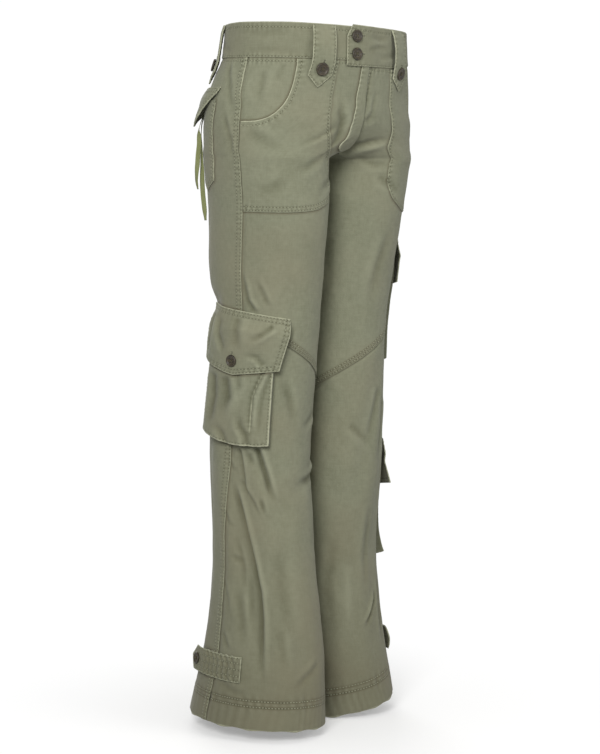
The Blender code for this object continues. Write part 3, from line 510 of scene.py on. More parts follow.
def hornPolyester(name):  # cast polyester that looks like horn: dark, streaked, softly glossy
    material, tree, shader = newMaterial(name, 0.5)
    place = addNode(tree, "TexCoord").outputs["Object"]
    streaks = addNode(tree, "Mapping", {"Scale": (160, 160, 420)}, {"Vector": place}).outputs[0]
    cloudy = {"Scale": 1.0, "Detail": 3.0, "Distortion": 0.8}
    cloud = addNode(tree, "TexNoise", cloudy, {"Vector": streaks}).outputs["Fac"]
    tone = addNode(tree, "MapRange", {"From Min": 0.35, "From Max": 0.7}, {"Value": cloud}).outputs[0]
    dark, light = map(tint, smallLooks["horn"])
    colour = addNode(tree, "Mix", {6: dark, 7: light}, {0: tone}, data_type="RGBA").outputs[2]
    tree.links.new(colour, shader.inputs["Base Color"])
    return material


def cottonTape(name):  # woven cotton tape: fine ribs across, pale yellow green, matt
    material, tree, shader = newMaterial(name, 0.88)
    cloth = addNode(tree, "UVMap", uv_map="clothGrain").outputs[0]
    ribs = {"Scale": 0.314 / smallLooks["ribSpacing"], "Distortion": 0.4}
    rib = addNode(tree, "TexWave", ribs, {"Vector": cloth}, wave_type="BANDS", bands_direction="Y").outputs["Fac"]
    dark, light = map(tint, smallLooks["tape"])
    colour = addNode(tree, "Mix", {6: dark, 7: light}, {0: rib}, data_type="RGBA").outputs[2]
    tree.links.new(colour, shader.inputs["Base Color"])
    bump = addNode(tree, "Bump", {"Strength": 0.5, "Distance": 0.0003}, {"Height": rib}).outputs[0]
    tree.links.new(bump, shader.inputs["Normal"])
    return material


canvas = washedCanvas("washedCottonTwill")
thread = sewingThread("spunCottonThread")
horn = hornPolyester("castPolyesterHorn")
tape = cottonTape("wovenCottonTape")
print("materials made")

# How a piece of cloth is made

borderSteps = (0, 0.4, 0.9, 1.5, 2.2, 3.1, 4.4, 5.6, 6.5, 7.4, 8.3, 9.4, 11, 13)  # mm from an edge
hemSteps = (
    0, 0.5, 1.5, 3.6, 6.6, 9.8, 13, 16.4, 19.8, 23.2, 26.6, 29.8, 31.6, 32.6, 33.5, 34.4, 35.6, 37.6, 39.8,
    41.1, 42, 42.9, 44.2, 46,
)
roughDegree = 1.6  # mm of cloth in one degree, about, for the length of a line
clothForm = {
    "fold": 0.5,  # how far, and over what width, it rounds off at a folded edge
    "grooveDeep": 0.5, "grooveWide": 0.9,  # a row of stitches draws it in
    "tuckDeep": 1.2, "tuckFrom": 3.4, "tuckRamp": 3.0,  # it steps down where it goes under another piece
    "liftFrom": 1.2, "liftRamp": 2.4,  # and up where the seam allowance lies beneath
    "turnedIn": 2.9,  # the cloth turned up inside a hem
    # the next three: how strongly puckers are painted as light and shade, how dark the painted shade is where the
    # cloth goes under another piece, and the half width of a painted shade line
    "puckerShade": 5.5, "tuckShade": 0.5, "shadeWide": 2.2,
    # painted shade, darker towards the hems: from, over, by how much
    "dust": ((-560, 480, 0.32), (-930, 70, 0.14)),
}


def alongAt(line, shares):  # points at these shares of a line's length
    line = np.array(line, float)
    lengths = np.hypot(np.diff(line[:, 0]) * roughDegree, np.diff(line[:, 1]))
    done = np.concatenate([[0], np.cumsum(lengths)])
    return np.stack([np.interp(np.asarray(shares) * done[-1], done, line[:, k]) for k in (0, 1)], -1)


def lineLength(line):
    line = np.array(line, float)
    return float(np.hypot(np.diff(line[:, 0]) * roughDegree, np.diff(line[:, 1])).sum())


def spaced(length, gap, near, nearEnd=None):  # close together beside an edge
    start = [d for d in near if d < length * 0.33]
    end = [length - d for d in nearEnd or near if d < length * 0.33][::-1]
    count = max(1, math.ceil((end[0] - start[-1]) / gap))
    return np.array(start + [start[-1] + (end[0] - start[-1]) * k / count for k in range(1, count)] + end)


def curved(points, each=4):  # a smooth line through the points
    points = np.array(points, float)
    padded = np.vstack([2 * points[0] - points[1], points, 2 * points[-1] - points[-2]])
    made = []
    for k in range(1, len(padded) - 2):
        a, b, c, d = padded[k - 1 : k + 3]
        for t in np.arange(each) / each:
            bend = (2 * a - 5 * b + 4 * c - d) * t**2 + (3 * b - a - 3 * c + d) * t**3
            made.append((2 * b + (c - a) * t + bend) / 2)
    return [tuple(p) for p in [*made, points[-1]]]


def meshFrom(form, name):
    mesh = bpy.data.meshes.new(name)
    form.to_mesh(mesh)
    form.free()
    return mesh


def evenly(height):  # the same distance from the leg all over
    return lambda phi, z: height


def finish(name, mesh, parts, node, wall=None):
    piece = bpy.data.objects.new(name, mesh)
    garment.objects.link(piece)
    for part in parts:
        mesh.materials.append(part)
    if wall:
        thick = piece.modifiers.new("wall", "SOLIDIFY")
        thick.thickness, thick.offset = wall * 0.001, -1
    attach(piece, "root")
    if node:
        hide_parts(node)
    return piece


seams = []  # every row of stitches, sewn at the end
surfaces = {}  # each piece's place and distance from the leg, for its buttonhole


def edgeOf(line, rows=(2.2, 7.4), worn=1.0, wave=1.25, reach=7.0, deep=1.0):
    # a line along which cloth is folded and sewn: its rows of stitches in mm from it, how far it is rubbed
    # pale, and how long, how wide and how deep the puckers of its sewing are
    middle = sum(rows) / len(rows) if rows else 0
    return dict(line=list(line), rows=rows, worn=worn, wave=wave, reach=reach, deep=deep, middle=middle)


def cloth(name, node, sides, top, bottom, place, off, cut, on, edges=(), gap=3.4, wall=1.4, tucked=(), lifted=(),
          turnUp=None, area=None, inside=None, near=borderSteps, nearEnd=None, pucker=0.4, dark=(), tone=0.0):
    # sides: pairs of left and right lines, from the top down, that run beside each other
    # off: mm from the leg, cut: the flat size in metres, not used, on: the pieces it is sewn to
    # tucked: lines where it goes under another piece, with painted shade beside them, lifted: lines with a raised
    # strip's width and height, dark: lines with the strength of the painted shade beside them, tone: painted shade
    # over the whole piece
    lengths = [max(lineLength(a), lineLength(b), 1) for a, b in sides]
    total = sum(lengths)
    joints = list(np.cumsum(lengths)[:-1])
    down = spaced(total, gap, near, nearEnd)
    down = sorted([d for d in down if not any(abs(d - j) < 0.9 for j in joints)] + joints)
    wide = max(lineLength(top), lineLength(bottom))
    across = spaced(wide, gap, near) / wide
    leftEdge, rightEdge, done = [], [], 0
    for (a, b), length in zip(sides, lengths):
        shares = [(d - done) / length for d in down if done - 1e-6 <= d <= done + length + 1e-6]
        shares = shares[1 if leftEdge else 0 :]
        leftEdge += list(alongAt(a, shares))
        rightEdge += list(alongAt(b, shares))
        done += length
    leftEdge, rightEdge = np.array(leftEdge), np.array(rightEdge)
    v, u = np.array(down)[:, None, None] / total, across[None, :, None]
    flat = (1 - u) * leftEdge[:, None] + u * rightEdge[:, None]
    flat = (
        flat + (1 - v) ** 3 * (alongAt(top, across)[None] - flat[:1])
        + v**3 * (alongAt(bottom, across)[None] - flat[-1:])
    )
    phi, z = flat[..., 0].ravel(), flat[..., 1].ravel()
    extra = np.zeros(phi.shape)
    if turnUp:  # the cloth goes round the fold and up inside
        deepest = clothForm["turnedIn"]
        path = [(0.2, 0.9), (0.2, 2.0), (1.2, deepest)] + [(up, deepest) for up in np.linspace(4, turnUp, 10)]
        for up, inwards in path:
            phi, z = np.concatenate([phi, flat[-1, :, 0]]), np.concatenate([z, flat[-1, :, 1] + up])
            extra = np.concatenate([extra, np.full(len(across), -inwards)])
    rows, columns = phi.size // len(across), len(across)

    def depth(atPhi, atZ):  # mm from the leg, and what the looks need
        value = off(atPhi, atZ) + np.zeros(atPhi.shape)
        rope = np.zeros(atPhi.shape)
        edge, row = np.full(atPhi.shape, 99.0), np.full(atPhi.shape, 99.0)
        for item in edges:
            away, along, _, _ = nearLine(atPhi, atZ, item["line"])
            if item["worn"]:
                edge = np.minimum(edge, away + 1.2 * (1 - item["worn"]))
                value = value - clothForm["fold"] * np.exp(-((away / clothForm["fold"]) ** 2))
            for at in item["rows"]:
                row = np.minimum(row, np.abs(away - at))
            ripple = item["deep"] * np.sin(along / item["wave"] + 1.5 * np.sin(along / 19))
            ripple = ripple * (0.75 + 0.35 * np.sin(along / 13 + 1))
            aside = away - item["middle"]
            value = value + pucker * ripple * np.exp(-((aside / item["reach"]) ** 2)) * smooth(away / 2.0)
            # rope paints the puckers as shade in their hollows and as light on their crests
            rope = rope - ripple * np.exp(-((aside / (item["reach"] - 2)) ** 2))
        value = value - clothForm["grooveDeep"] * np.exp(-((row / clothForm["grooveWide"]) ** 2))
        for line in tucked:
            past = 1 - (nearLine(atPhi, atZ, line)[0] - clothForm["tuckFrom"]) / clothForm["tuckRamp"]
            value = value - clothForm["tuckDeep"] * smooth(past)
        for line, width, height in lifted:
            within = width + clothForm["liftFrom"] - nearLine(atPhi, atZ, line)[0]
            value = value + height * smooth(within / clothForm["liftRamp"])
        return value, edge, row, rope

    def offAt(atPhi, atZ):
        return depth(atPhi, atZ)[0]

    value, edge, row, rope = depth(phi, z)
    # painted shade: the cloth is darkened and browned by the piece's tone, towards the hems, and beside tucked and
    # dark lines
    shade = tone + sum(much * smooth((begin - z) / over) for begin, over, much in clothForm["dust"])
    for line, strength in [*[(line, clothForm["tuckShade"]) for line in tucked], *dark]:
        shade = shade + strength * np.exp(-((nearLine(phi, z, line)[0] / clothForm["shadeWide"]) ** 2))
    point, _, crease = place(phi, z, value + extra)
    looks = {
        "edge": np.where(extra < -1, 99, edge), "row": row, "shade": np.minimum(shade, 1),
        "crease": crease + clothForm["puckerShade"] * pucker * rope,
    }
    form = bmesh.new()
    bmesh.ops.create_grid(form, x_segments=columns - 1, y_segments=rows - 1, size=0.5)
    mesh = meshFrom(form, name)
    corner = np.zeros(len(mesh.vertices) * 3)
    mesh.vertices.foreach_get("co", corner)
    corner = corner.reshape(-1, 3)
    order = np.rint((0.5 - corner[:, 1]) * (rows - 1)).astype(int) * columns
    order += np.rint((corner[:, 0] + 0.5) * (columns - 1)).astype(int)
    mesh.vertices.foreach_set("co", (point[order] * 0.001).ravel())
    for label, values in looks.items():
        mesh.attributes.new(label, "FLOAT", "POINT").data.foreach_set("value", values[order].astype(np.float32))
    grain = mesh.uv_layers.new(name="clothGrain")
    corners = np.zeros(len(mesh.loops), int)
    mesh.loops.foreach_get("vertex_index", corners)
    grainX, grainY = (phi * perDegree(z) * 0.001)[order][corners], (z * 0.001)[order][corners]
    grain.data.foreach_set("uv", np.stack([grainX, grainY], -1).astype(np.float32).ravel())
    middle = (rows // 2) * columns + columns // 2
    at = phi[middle : middle + 1], z[middle : middle + 1]
    outward = place(*at, np.array([5.0]))[0][0] - place(*at, np.array([0.0]))[0][0]
    mesh.update()
    nearby = min(mesh.polygons, key=lambda face: (face.center - Vector(point[middle] * 0.001)).length)
    if nearby.normal.dot(Vector(outward)) < 0:
        mesh.flip_normals()
    mesh.shade_smooth()
    piece = finish(name, mesh, [canvas], node, wall=wall)
    list(on)
    surfaces[name] = place, offAt
    inside = inside or (float(phi.mean()), float(z.mean()))
    folded = [item["line"] for item in edges if item["worn"]]
    for item in edges:
        for at in item["rows"]:
            seams.append((name, item["line"], at, inside, place, offAt, folded))
    return piece


# Seam lines, as (phi, z)

waistBottom, lapDrop = -55.0, 8.0
hemEdge = {
    right: ((-90, -1042), (-30, -1040.5), (20, -1037), (70, -1035.5), (130, -1034), (270, -1042)),
    left: ((-90, -1054), (-50, -1053), (-20, -1043), (35, -1027.5), (130, -1029), (270, -1054)),
}


def lineAt(line, at):
    return float(np.interp(at, [p for p, _ in line], [q for _, q in line]))


def partOf(line, first, last):
    inner = [point for point in line if first < point[0] < last]
    return [(first, lineAt(line, first))] + inner + [(last, lineAt(line, last))]


def waistLine(half):
    drop = lapDrop if half == left else 0
    return [(0, waistBottom - drop), (20, waistBottom - drop), (60, waistBottom), (180, waistBottom)]


def kneeAt(phi):
    return -487.5 + 0.78 * phi


def crotchLevel(phi):
    low, high = -199.99, -120.0
    for _ in range(40):
        level = (low + high) / 2
        if plainForm(right, np.array([phi]), np.array([level]))[0, 0] < 0:
            low = level
        else:
            high = level
    return low


crotchPhis = (-1.5, -2.9, -7, -11.4, -17, -24, -30, -38.4, -45, -54.7, -60, -70, -80, -89.9)
riseFront = [(0.0, -120.0)] + [(phi, crotchLevel(phi)) for phi in crotchPhis]  # from the top down
riseBack = [(180 - phi, z) for phi, z in riseFront]
under = 2.2  # degrees that a panel runs on beneath the one that laps it

# lines of the pieces that are sewn on, beside which shade is painted on the cloth beneath
flyEdge = curved([
    (5, -60), (5.3, -88), (6, -111), (5.2, -132), (1.2, -153), (-6, -170), (-13, -181), (-23, -187),
    (-38.4, -188.5),
])
mouth = curved([
    (45, -57), (43.6, -80), (43.4, -102), (44.6, -115.5), (47.9, -129), (51, -137.7), (55.1, -143.5), (61, -147),
    (70.6, -147.5),
])
patchInner = {
    right: curved([(20, -57), (20, -100), (19, -138), (9.5, -166), (-8, -186), (-26, -202), (-33, -248)]),
    left: curved([(19, -65), (19, -112), (19.5, -138), (14, -165), (0, -184), (-8, -204), (-8, -230)]),
}
patchEdge = {
    right: curved([(-33, -248), (-28, -262), (-14, -270), (0, -275.5), (30, -278.5), (70.6, -277)]),
    left: curved([(-8, -230), (0, -254), (14, -268), (28, -275.5), (44, -278), (70.6, -277)]),
}
backPocketLine = [(94, -116), (94, -121), (106, -232), (124, -246), (142, -232), (154, -121), (154, -116)]
backLines = {
    right: [
        backPocketLine, [(34, -454), (34, -620), (81, -618), (101, -610), (123.5, -600), (123.5, -454)],
        [(20, -433), (104, -414), (136, -411)], [(68, -932), (68, -970), (112, -970)], [(68, -932), (112, -932)],
    ],
    left: [
        backPocketLine, [(56.5, -353), (56.5, -507), (125, -504.5), (125, -353)],
        [(57, -662), (57, -815), (124, -810), (124, -662)], [(52, -318), (131, -314)],
        [(52, -630), (129, -626)], [(52, -930), (112, -930)], [(52, -968), (112, -968)],
    ],
}

# Leg panels

legPanels = {
    "style": {"wall": 1.4, "gap": 3.4}, "backStyle": {"wall": 1.4, "gap": 3.7}, "waistRow": 5.5,
    # the last value here is how dark the painted shade along the hem's rows of stitches is
    "hemRows": (33.5, 42.0), "hemTurn": 44.0, "hemPaintedShade": 0.62,
    "hemWaves": ((0.8, 11, 1.1), (0.7, 17, 0)),  # mm, how often round the leg, from where
    "hemSeam": {"worn": 0.8, "wave": 2.3, "reach": 11, "deep": 1.7},
    "kneeRows": (2.5, 8.5),  # mm over the knee seam
}
for half, word in legs:
    sign = word.capitalize()
    waist, hem = waistLine(half), hemEdge[half]
    waistFront, waistBack = waist[:3] + [(80, -55)], [(80, -55), (180, -55)]
    sideLeg = [(72, -431), (80, -640), (90, -760), (99, lineAt(hem, 99))]
    side = [(80, -55), (72, -120), *sideLeg]
    kneeLine = [(-90, kneeAt(-90)), (72, kneeAt(72))]
    # lines with painted shade beside them, and its strength: the knee rows, the hip patch's edges and mouth, the
    # hem rows
    kneeRows = [([(phi, z + up) for phi, z in kneeLine], 0.5) for up in legPanels["kneeRows"]]
    patchLines = [(patchInner[half], 0.45), (patchEdge[half], 0.9), (mouth, 1)]
    hemLines = [([(phi, z + up) for phi, z in hem], legPanels["hemPaintedShade"]) for up in legPanels["hemRows"]]
    if half == right:  # painted shade under the fly lap's edge and beneath the large pocket
        flyLines, flySeam, kneeShade = [(flyEdge, 0.8)], [], [([(30, -510), (50, -513)], 0.6)]
    else:
        flyLines, flySeam, kneeShade = [], [edgeOf([(0, -68), (0, -112)], (2.5,), 0)], []
    hemFold = [
        (phi, lineAt(hem, phi) + sum(high * math.sin(math.radians(often * phi) + start)
                                     for high, often, start in legPanels["hemWaves"]))
        for phi in np.linspace(-90, 270, 121)
    ]
    foldFront, foldBack = partOf(hemFold, -90, 99 + under), partOf(hemFold, 99, 270)
    place = toMiddle(half)
    cloth(
        f"frontUpper{sign}", f"front_upper_{word}",
        [
            ([(0, waist[0][1] + 3), (0, -120)], [(80 + under, -52), (72 + under, -112)]),
            (riseFront, [(72 + under, -112), (72 + under, -222)]),
            ([(-90, -200), (-90, kneeAt(-90))], [(72 + under, -222), (72 + under, kneeAt(72))]),
        ],
        [(0, waist[0][1] + 3), (20, waist[1][1] + 3), (60, -52), (80 + under, -52)],
        [(-90, kneeAt(-90)), (72 + under, kneeAt(72))],
        place, evenly(0), cut=(0.30, 0.50), area=0.115, on=[f"waistband{sign}"], inside=(10, -300),
        edges=[edgeOf(kneeLine, worn=0), edgeOf(waistFront, (legPanels["waistRow"],), 0), *flySeam],
        tucked=[[(80, -55), (72, -120), (72, kneeAt(72))], waistFront],
        lifted=[(kneeLine, 9, 0.5), (waistFront, 5.5, 0.6)],
        dark=patchLines + flyLines + kneeRows, **legPanels["style"],
    )
    cloth(
        f"frontLower{sign}", f"front_lower_{word}",
        [(
            [(-90, kneeAt(-90) + 3), foldFront[0]],
            [(72 + under, kneeAt(72) + 3), (80 + under, -640), (90 + under, -760), foldFront[-1]],
        )],
        [(-90, kneeAt(-90) + 3), (72 + under, kneeAt(72 + under) + 3)], foldFront,
        place, evenly(0), cut=(0.33, 0.62), on=[f"frontUpper{sign}"], inside=(0, -800),
        edges=[edgeOf(partOf(hem, -90, 98), legPanels["hemRows"], **legPanels["hemSeam"])],
        tucked=[sideLeg, kneeLine], turnUp=legPanels["hemTurn"], nearEnd=hemSteps,
        dark=hemLines + kneeShade, **legPanels["style"],
    )
    cloth(
        f"back{sign}", f"back_{word}",
        [
            ([(80, -52), (72, -120)], [(180, -52), (180, -120)]),
            ([(72, -120), (72, -222)], riseBack),
            ([(72, -222), *sideLeg[:-1], foldBack[0]], [(270, -200), foldBack[-1]]),
        ],
        [(80, -52), (180, -52)], foldBack,
        place, evenly(0), cut=(0.36, 1.01), on=[f"waistband{sign}"], inside=(150, -500),
        edges=[
            edgeOf(side, (2.0, 8.6), 0.5), edgeOf(waistBack, (legPanels["waistRow"],), 0),
            edgeOf(partOf(hem, 99, 270), legPanels["hemRows"], **legPanels["hemSeam"]),
        ],
        tucked=[waistBack], lifted=[(side, 10.3, 0.8), (waistBack, 5.5, 0.6)],
        turnUp=legPanels["hemTurn"], nearEnd=hemSteps,
        dark=hemLines + [(line, 0.9) for line in backLines[half]], **legPanels["backStyle"],
    )
print("leg panels made")

# Waistband, its left half lapping over the right one at the front

waistBand = {
    "out": 0.8, "topRow": 7.5, "lapReach": 15.5, "lapHeight": 2.7,
    # the band's tone is painted shade over all of it
    "style": {"wall": 2.0, "gap": 3.0, "tone": 0.14, "inside": (90, -30)},
}
bandTop = [(0, -7.5), (20, -6), (50, -4.5), (90, -5), (112, -6.5), (180, -7.5)]
bandEdge = [(0, -55.5), (180, -55.5)]
cloth(
    "waistbandRight", "waistband_right",
    [([bandTop[0], bandEdge[0]], [bandTop[-1], bandEdge[1]])], bandTop, bandEdge,
    toMiddle(right, "band"), evenly(waistBand["out"]), cut=(0.425, 0.049), on=["frontUpperRight", "backRight"],
    edges=[edgeOf(bandTop, (waistBand["topRow"],), 0.8), edgeOf(bandEdge, (1.5,), 0.5)], **waistBand["style"],
)


def lapPlace(phi, z, off):  # past the middle the lap lies on the right half
    rise = waistBand["lapHeight"] * smooth((10 - phi) / 10)
    here = lay(left, np.maximum(phi, 0), z, off + rise, "band")
    over = lay(right, np.maximum(-phi, 0), z, off + rise, "band")
    past = phi < 0
    point = np.where(past[:, None], over[0], here[0])
    point[:, 0] = np.where(phi > 179.5, -0.1, point[:, 0])
    return point, np.where(past[:, None], over[1], here[1]), np.where(past, over[2], here[2])


lapEnd = -waistBand["lapReach"]
lapTop = [(lapEnd + 3.5, -4.2), (0, -5.5), (30, -6.5), (60, -6.5), *bandTop[3:]]
lapSide = [(lapEnd + 3.5, -4.2), (lapEnd, -20), (lapEnd, -63.5)]
lapEdge = [(lapEnd, -63.5), (20, -63.5), (60, -55.5), (180, -55.5)]
cloth(
    "waistbandLeft", "waistband_left", [(lapSide, [bandTop[-1], bandEdge[1]])], lapTop, lapEdge,
    lapPlace, evenly(waistBand["out"]), cut=(0.465, 0.052), on=["frontUpperLeft", "backLeft"],
    edges=[edgeOf(lapTop, (waistBand["topRow"],), 0.8), edgeOf(lapSide, (1.8,)), edgeOf(lapEdge, (1.5,), 0.8)],
    **waistBand["style"],
)

# Fly lap

flyLap = {"out": 1.7, "style": {"wall": 1.3, "gap": 2.6}}
flyInner = [(0, -60), *[point for point in riseFront if point[0] > -39]]
cloth(
    "flyLap", "fly", [(flyInner, flyEdge)], [flyInner[0], flyEdge[0]], [flyInner[-1], flyEdge[-1]],
    toMiddle(right), evenly(flyLap["out"]), cut=(0.038, 0.17), area=0.0036, on=["frontUpperRight"],
    edges=[edgeOf(flyEdge, (), 0.6)], inside=(0, -120), **flyLap["style"],
)

# Hip patches, whose upper edge is the hip pocket's mouth

hipPatches = {
    "style": {"wall": 1.3, "gap": 3.2}, "out": 1.4, "puff": 0.9,
    "lowRows": {right: ((2.2, 7.4), 0.4), left: ((2.6,), 0.15)},  # and how far that edge is rubbed pale
    "matched": (8, 16, 12),  # points of the inner edge and of the mouth where the sides are matched
}


def patchOff(phi, z):
    inFrame = smooth((-130 - z) / 12) * smooth((z + 215) / 15) * smooth((phi + 20) / 30)
    return hipPatches["out"] + hipPatches["puff"] * inFrame


for half, word in legs:
    inner, low = patchInner[half], patchEdge[half]
    top = [inner[0], (45, lineAt(waistLine(half), 45) - 2)]
    mouthLine = [top[1], *mouth[1:]]
    first, second, across = hipPatches["matched"]
    cloth(
        f"hipPatch{word.capitalize()}", f"hip_patch_{word}",
        [
            (inner[: first + 1], mouthLine[: across + 1]),
            (inner[first : second + 1], mouthLine[across:]),
            (inner[second:], [mouthLine[-1], low[-1]]),
        ],
        top, low, onLeg(half), patchOff, cut=(0.17, 0.225), area=0.030, on=[f"frontUpper{word.capitalize()}"],
        edges=[edgeOf(mouthLine, (6.4,)), edgeOf(inner, (2.6,), 0.1), edgeOf(low, *hipPatches["lowRows"][half])],
        inside=(38, -200), **hipPatches["style"],
    )

# Back pockets and their flaps, which stand off further down

backPockets = {"out": 1.6, "style": {"wall": 1.3, "gap": 3.0}}
backFlaps = {"out": 2.5, "style": {"wall": 2.0, "gap": 2.6}, "lift": 0.27, "top": -98}
for half, word in legs:
    sign = word.capitalize()
    a, b = [(94, -116), (94, -121), (106, -232)], [(154, -116), (154, -121), (142, -232)]
    low = [(106, -232), (124, -246), (142, -232)]
    cloth(
        f"backPocket{sign}", f"back_pocket_{word}", [(a, b)], [a[0], b[0]], low, onLeg(half),
        evenly(backPockets["out"]), cut=(0.115, 0.13), on=[f"back{sign}"],
        edges=[edgeOf(a[1:] + low[1:] + b[1:2], worn=0.6)], **backPockets["style"],
    )
    top = backFlaps["top"]
    a, b = [(92.5, top), (92.5, -107), (110, -138)], [(155.5, top), (155.5, -107), (138, -138)]
    low = [(110, -138), (124, -153), (138, -138)]
    cloth(
        f"backFlap{sign}", f"back_flap_{word}", [(a, b)], [a[0], b[0]], low, onLeg(half, "flap"),
        lambda phi, z: backFlaps["out"] + backFlaps["lift"] * np.maximum(backFlaps["top"] - z, 0),
        cut=(0.125, 0.055), on=[f"backPocket{sign}"],
        edges=[edgeOf([a[0], b[0]], worn=0.6), edgeOf(a + low[1:] + b[:2][::-1], (2.0, 6.4))],
        **backFlaps["style"],
    )

# Belt tabs: pointed strips that stand off the waistband and are buttoned below it

beltTabs = {
    "out": 2.2, "style": {"wall": 2.0, "gap": 2.4},
    # z, and mm more off the leg
    "front": ((-98, 2.1), (-76, 2.1), (-66, 3.5), (-54, 5.6), (-36, 6.4), (-19, 4.6), (-8, 1.2)),
    "back": ((-98, 3.0), (-80, 3.0), (-68, 4.6), (-54, 5.8), (-34, 5.2), (-18, 3.8), (-8, 1.2)),
    # leg, phi from and to, phi and z of the point
    "tabs": (
        ("front", right, 23.0, 36.5, 29.5, -97.5), ("front", left, 20.0, 33.0, 26.5, -97.5),
        ("back", right, 112.5, 131.0, 121.5, -94.0), ("back", left, 112.5, 131.0, 121.5, -94.0),
    ),
}


def tabOff(distances):
    levels, offs = np.array(distances).T
    return lambda phi, z: np.interp(z, levels, offs) + beltTabs["out"]


for where, half, phiA, phiB, tip, zTip in beltTabs["tabs"]:
    word = "right" if half == right else "left"
    a, b = [(phiA, -8), (phiA, zTip + 18)], [(phiB, -8), (phiB, zTip + 18)]
    low = [a[1], (tip, zTip), b[1]]
    cloth(
        f"{where}Tab{word.capitalize()}", f"{where}_tab_{word}", [(a, b)], [a[0], b[0]], low, onLeg(half, "tab"),
        tabOff(beltTabs[where]), cut=(0.037, 0.09), on=[f"waistband{word.capitalize()}"],
        edges=[edgeOf(a + low[1:] + b[:1], (1.8,))], **beltTabs["style"],
    )
print("waist and hips made")

# Leg pockets: a tray with a flap over its mouth

legPockets = (
    # name, node, leg, phi from and to, z of the top, foot, mm it stands off at the front and at the back, how much
    # more at the foot, the front's share of that, how late it comes, cut
    ("cargoPocketRight", "cargo_pocket_right", right, 34.0, 123.5, -454.0,
     ((34.0, -620.0), (59, -620), (81, -618), (101, -610.5), (112, -606), (123.5, -602)), 12.0, 5.0, 9.0, 0.2, 2,
     (0.19, 0.165)),
    ("thighPocketLeft", "thigh_pocket_left", left, 56.5, 125.0, -353.0,
     ((56.5, -507.0), (125.0, -504.5)), 7.7, 7.9, 0.6, 1.0, 2, (0.15, 0.16)),
    ("calfPocketLeft", "calf_pocket_left", left, 57.0, 124.0, -662.0,
     ((57.0, -815.0), (124.0, -810.0)), 4.0, 5.5, 15.0, 1.0, 4, (0.15, 0.16)),
)
legFlaps = {
    # node, top line, lower line (its first and last points are the ends of the sides), flare, cut
    "cargoPocketRight": ("cargo_flap_right", ((20, -433), (104, -414), (136, -411)),
                         ((20, -437), (30, -507), (74, -514), (126, -494), (136, -424)), 0.0, (0.205, 0.095)),
    "thighPocketLeft": ("thigh_flap_left", ((52, -318), (131, -314)),
                        ((52, -322), (55, -384), (92, -396), (127, -380), (131, -320)), 3.0, (0.15, 0.08)),
    "calfPocketLeft": ("calf_flap_left", ((52, -630), (129, -626)),
                       ((52, -634), (55, -700), (91, -710), (125, -694), (129, -632)), 16.0, (0.145, 0.085)),
}
trays = {
    "least": 0.9, "gusset": 2.6, "fold": 2.2, "mouth": 0.6, "mouthRamp": 20,
    "style": {
        "wall": 1.4, "gap": 3.0, "pucker": 0.25, "near": (0, 0.25, 0.55, 0.9, 1.3, 1.8, 2.4, 3.1, 4, 5.2, 7, 9),
    },
    "pleat": [(44, -506), (50, -528), (53.6, -544), (54.4, -570), (53.8, -598)],
}
flaps = {
    "style": {"wall": 1.5, "gap": 2.8}, "thick": 1.6, "over": 1.6, "seam": 0.3, "ramp": (26, 34),
    "held": 36, "below": 30,
}


def trayDepth(phiA, phiB, zTop, foot, deepFront, deepBack, deepLow, share, power):
    # mm that a filled-out pocket stands off the leg
    def depth(phi, z):
        t = np.clip((phi - (phiA + phiB) / 2) / ((phiB - phiA) / 2), 0, 1)
        deep = deepFront + (deepBack - deepFront) * t
        down = np.clip((zTop - z) / trays["mouthRamp"], 0, 1)
        low = np.clip((zTop - z) / (zTop - np.interp(phi, *np.array(foot).T)), 0, 1)
        filled = trays["mouth"] + (1 - trays["mouth"]) * down
        return deep * filled + deepLow * low**power * (share + (1 - share) * t)

    return depth


def trayForm(depth, rim):  # its side walls are folded gussets
    def off(phi, z):
        wallShare = np.sin(np.pi / 2 * np.clip(nearLine(phi, z, rim)[0] / trays["gusset"], 0, 1)) ** 0.8
        return trays["least"] + (depth(phi, z) - trays["least"]) * wallShare

    return off


def flapForm(depth, top, lowest, flare):  # held at its top seam, then over the pocket's mouth
    freeFrom = top[0][1] - flaps["held"]

    def off(phi, z):
        below = np.maximum(0, np.interp(phi, *np.array(top).T) - z)
        held = depth(phi, z - flaps["below"]) + flaps["over"]
        ramp = flaps["ramp"][0] + flaps["ramp"][1] * np.clip((phi - 80) / 45, 0, 1)
        free = np.clip((freeFrom - z) / (freeFrom - lowest), 0, 1)
        return np.minimum(flaps["seam"] + below * held / ramp, held) + flare * free + flaps["thick"]

    return off


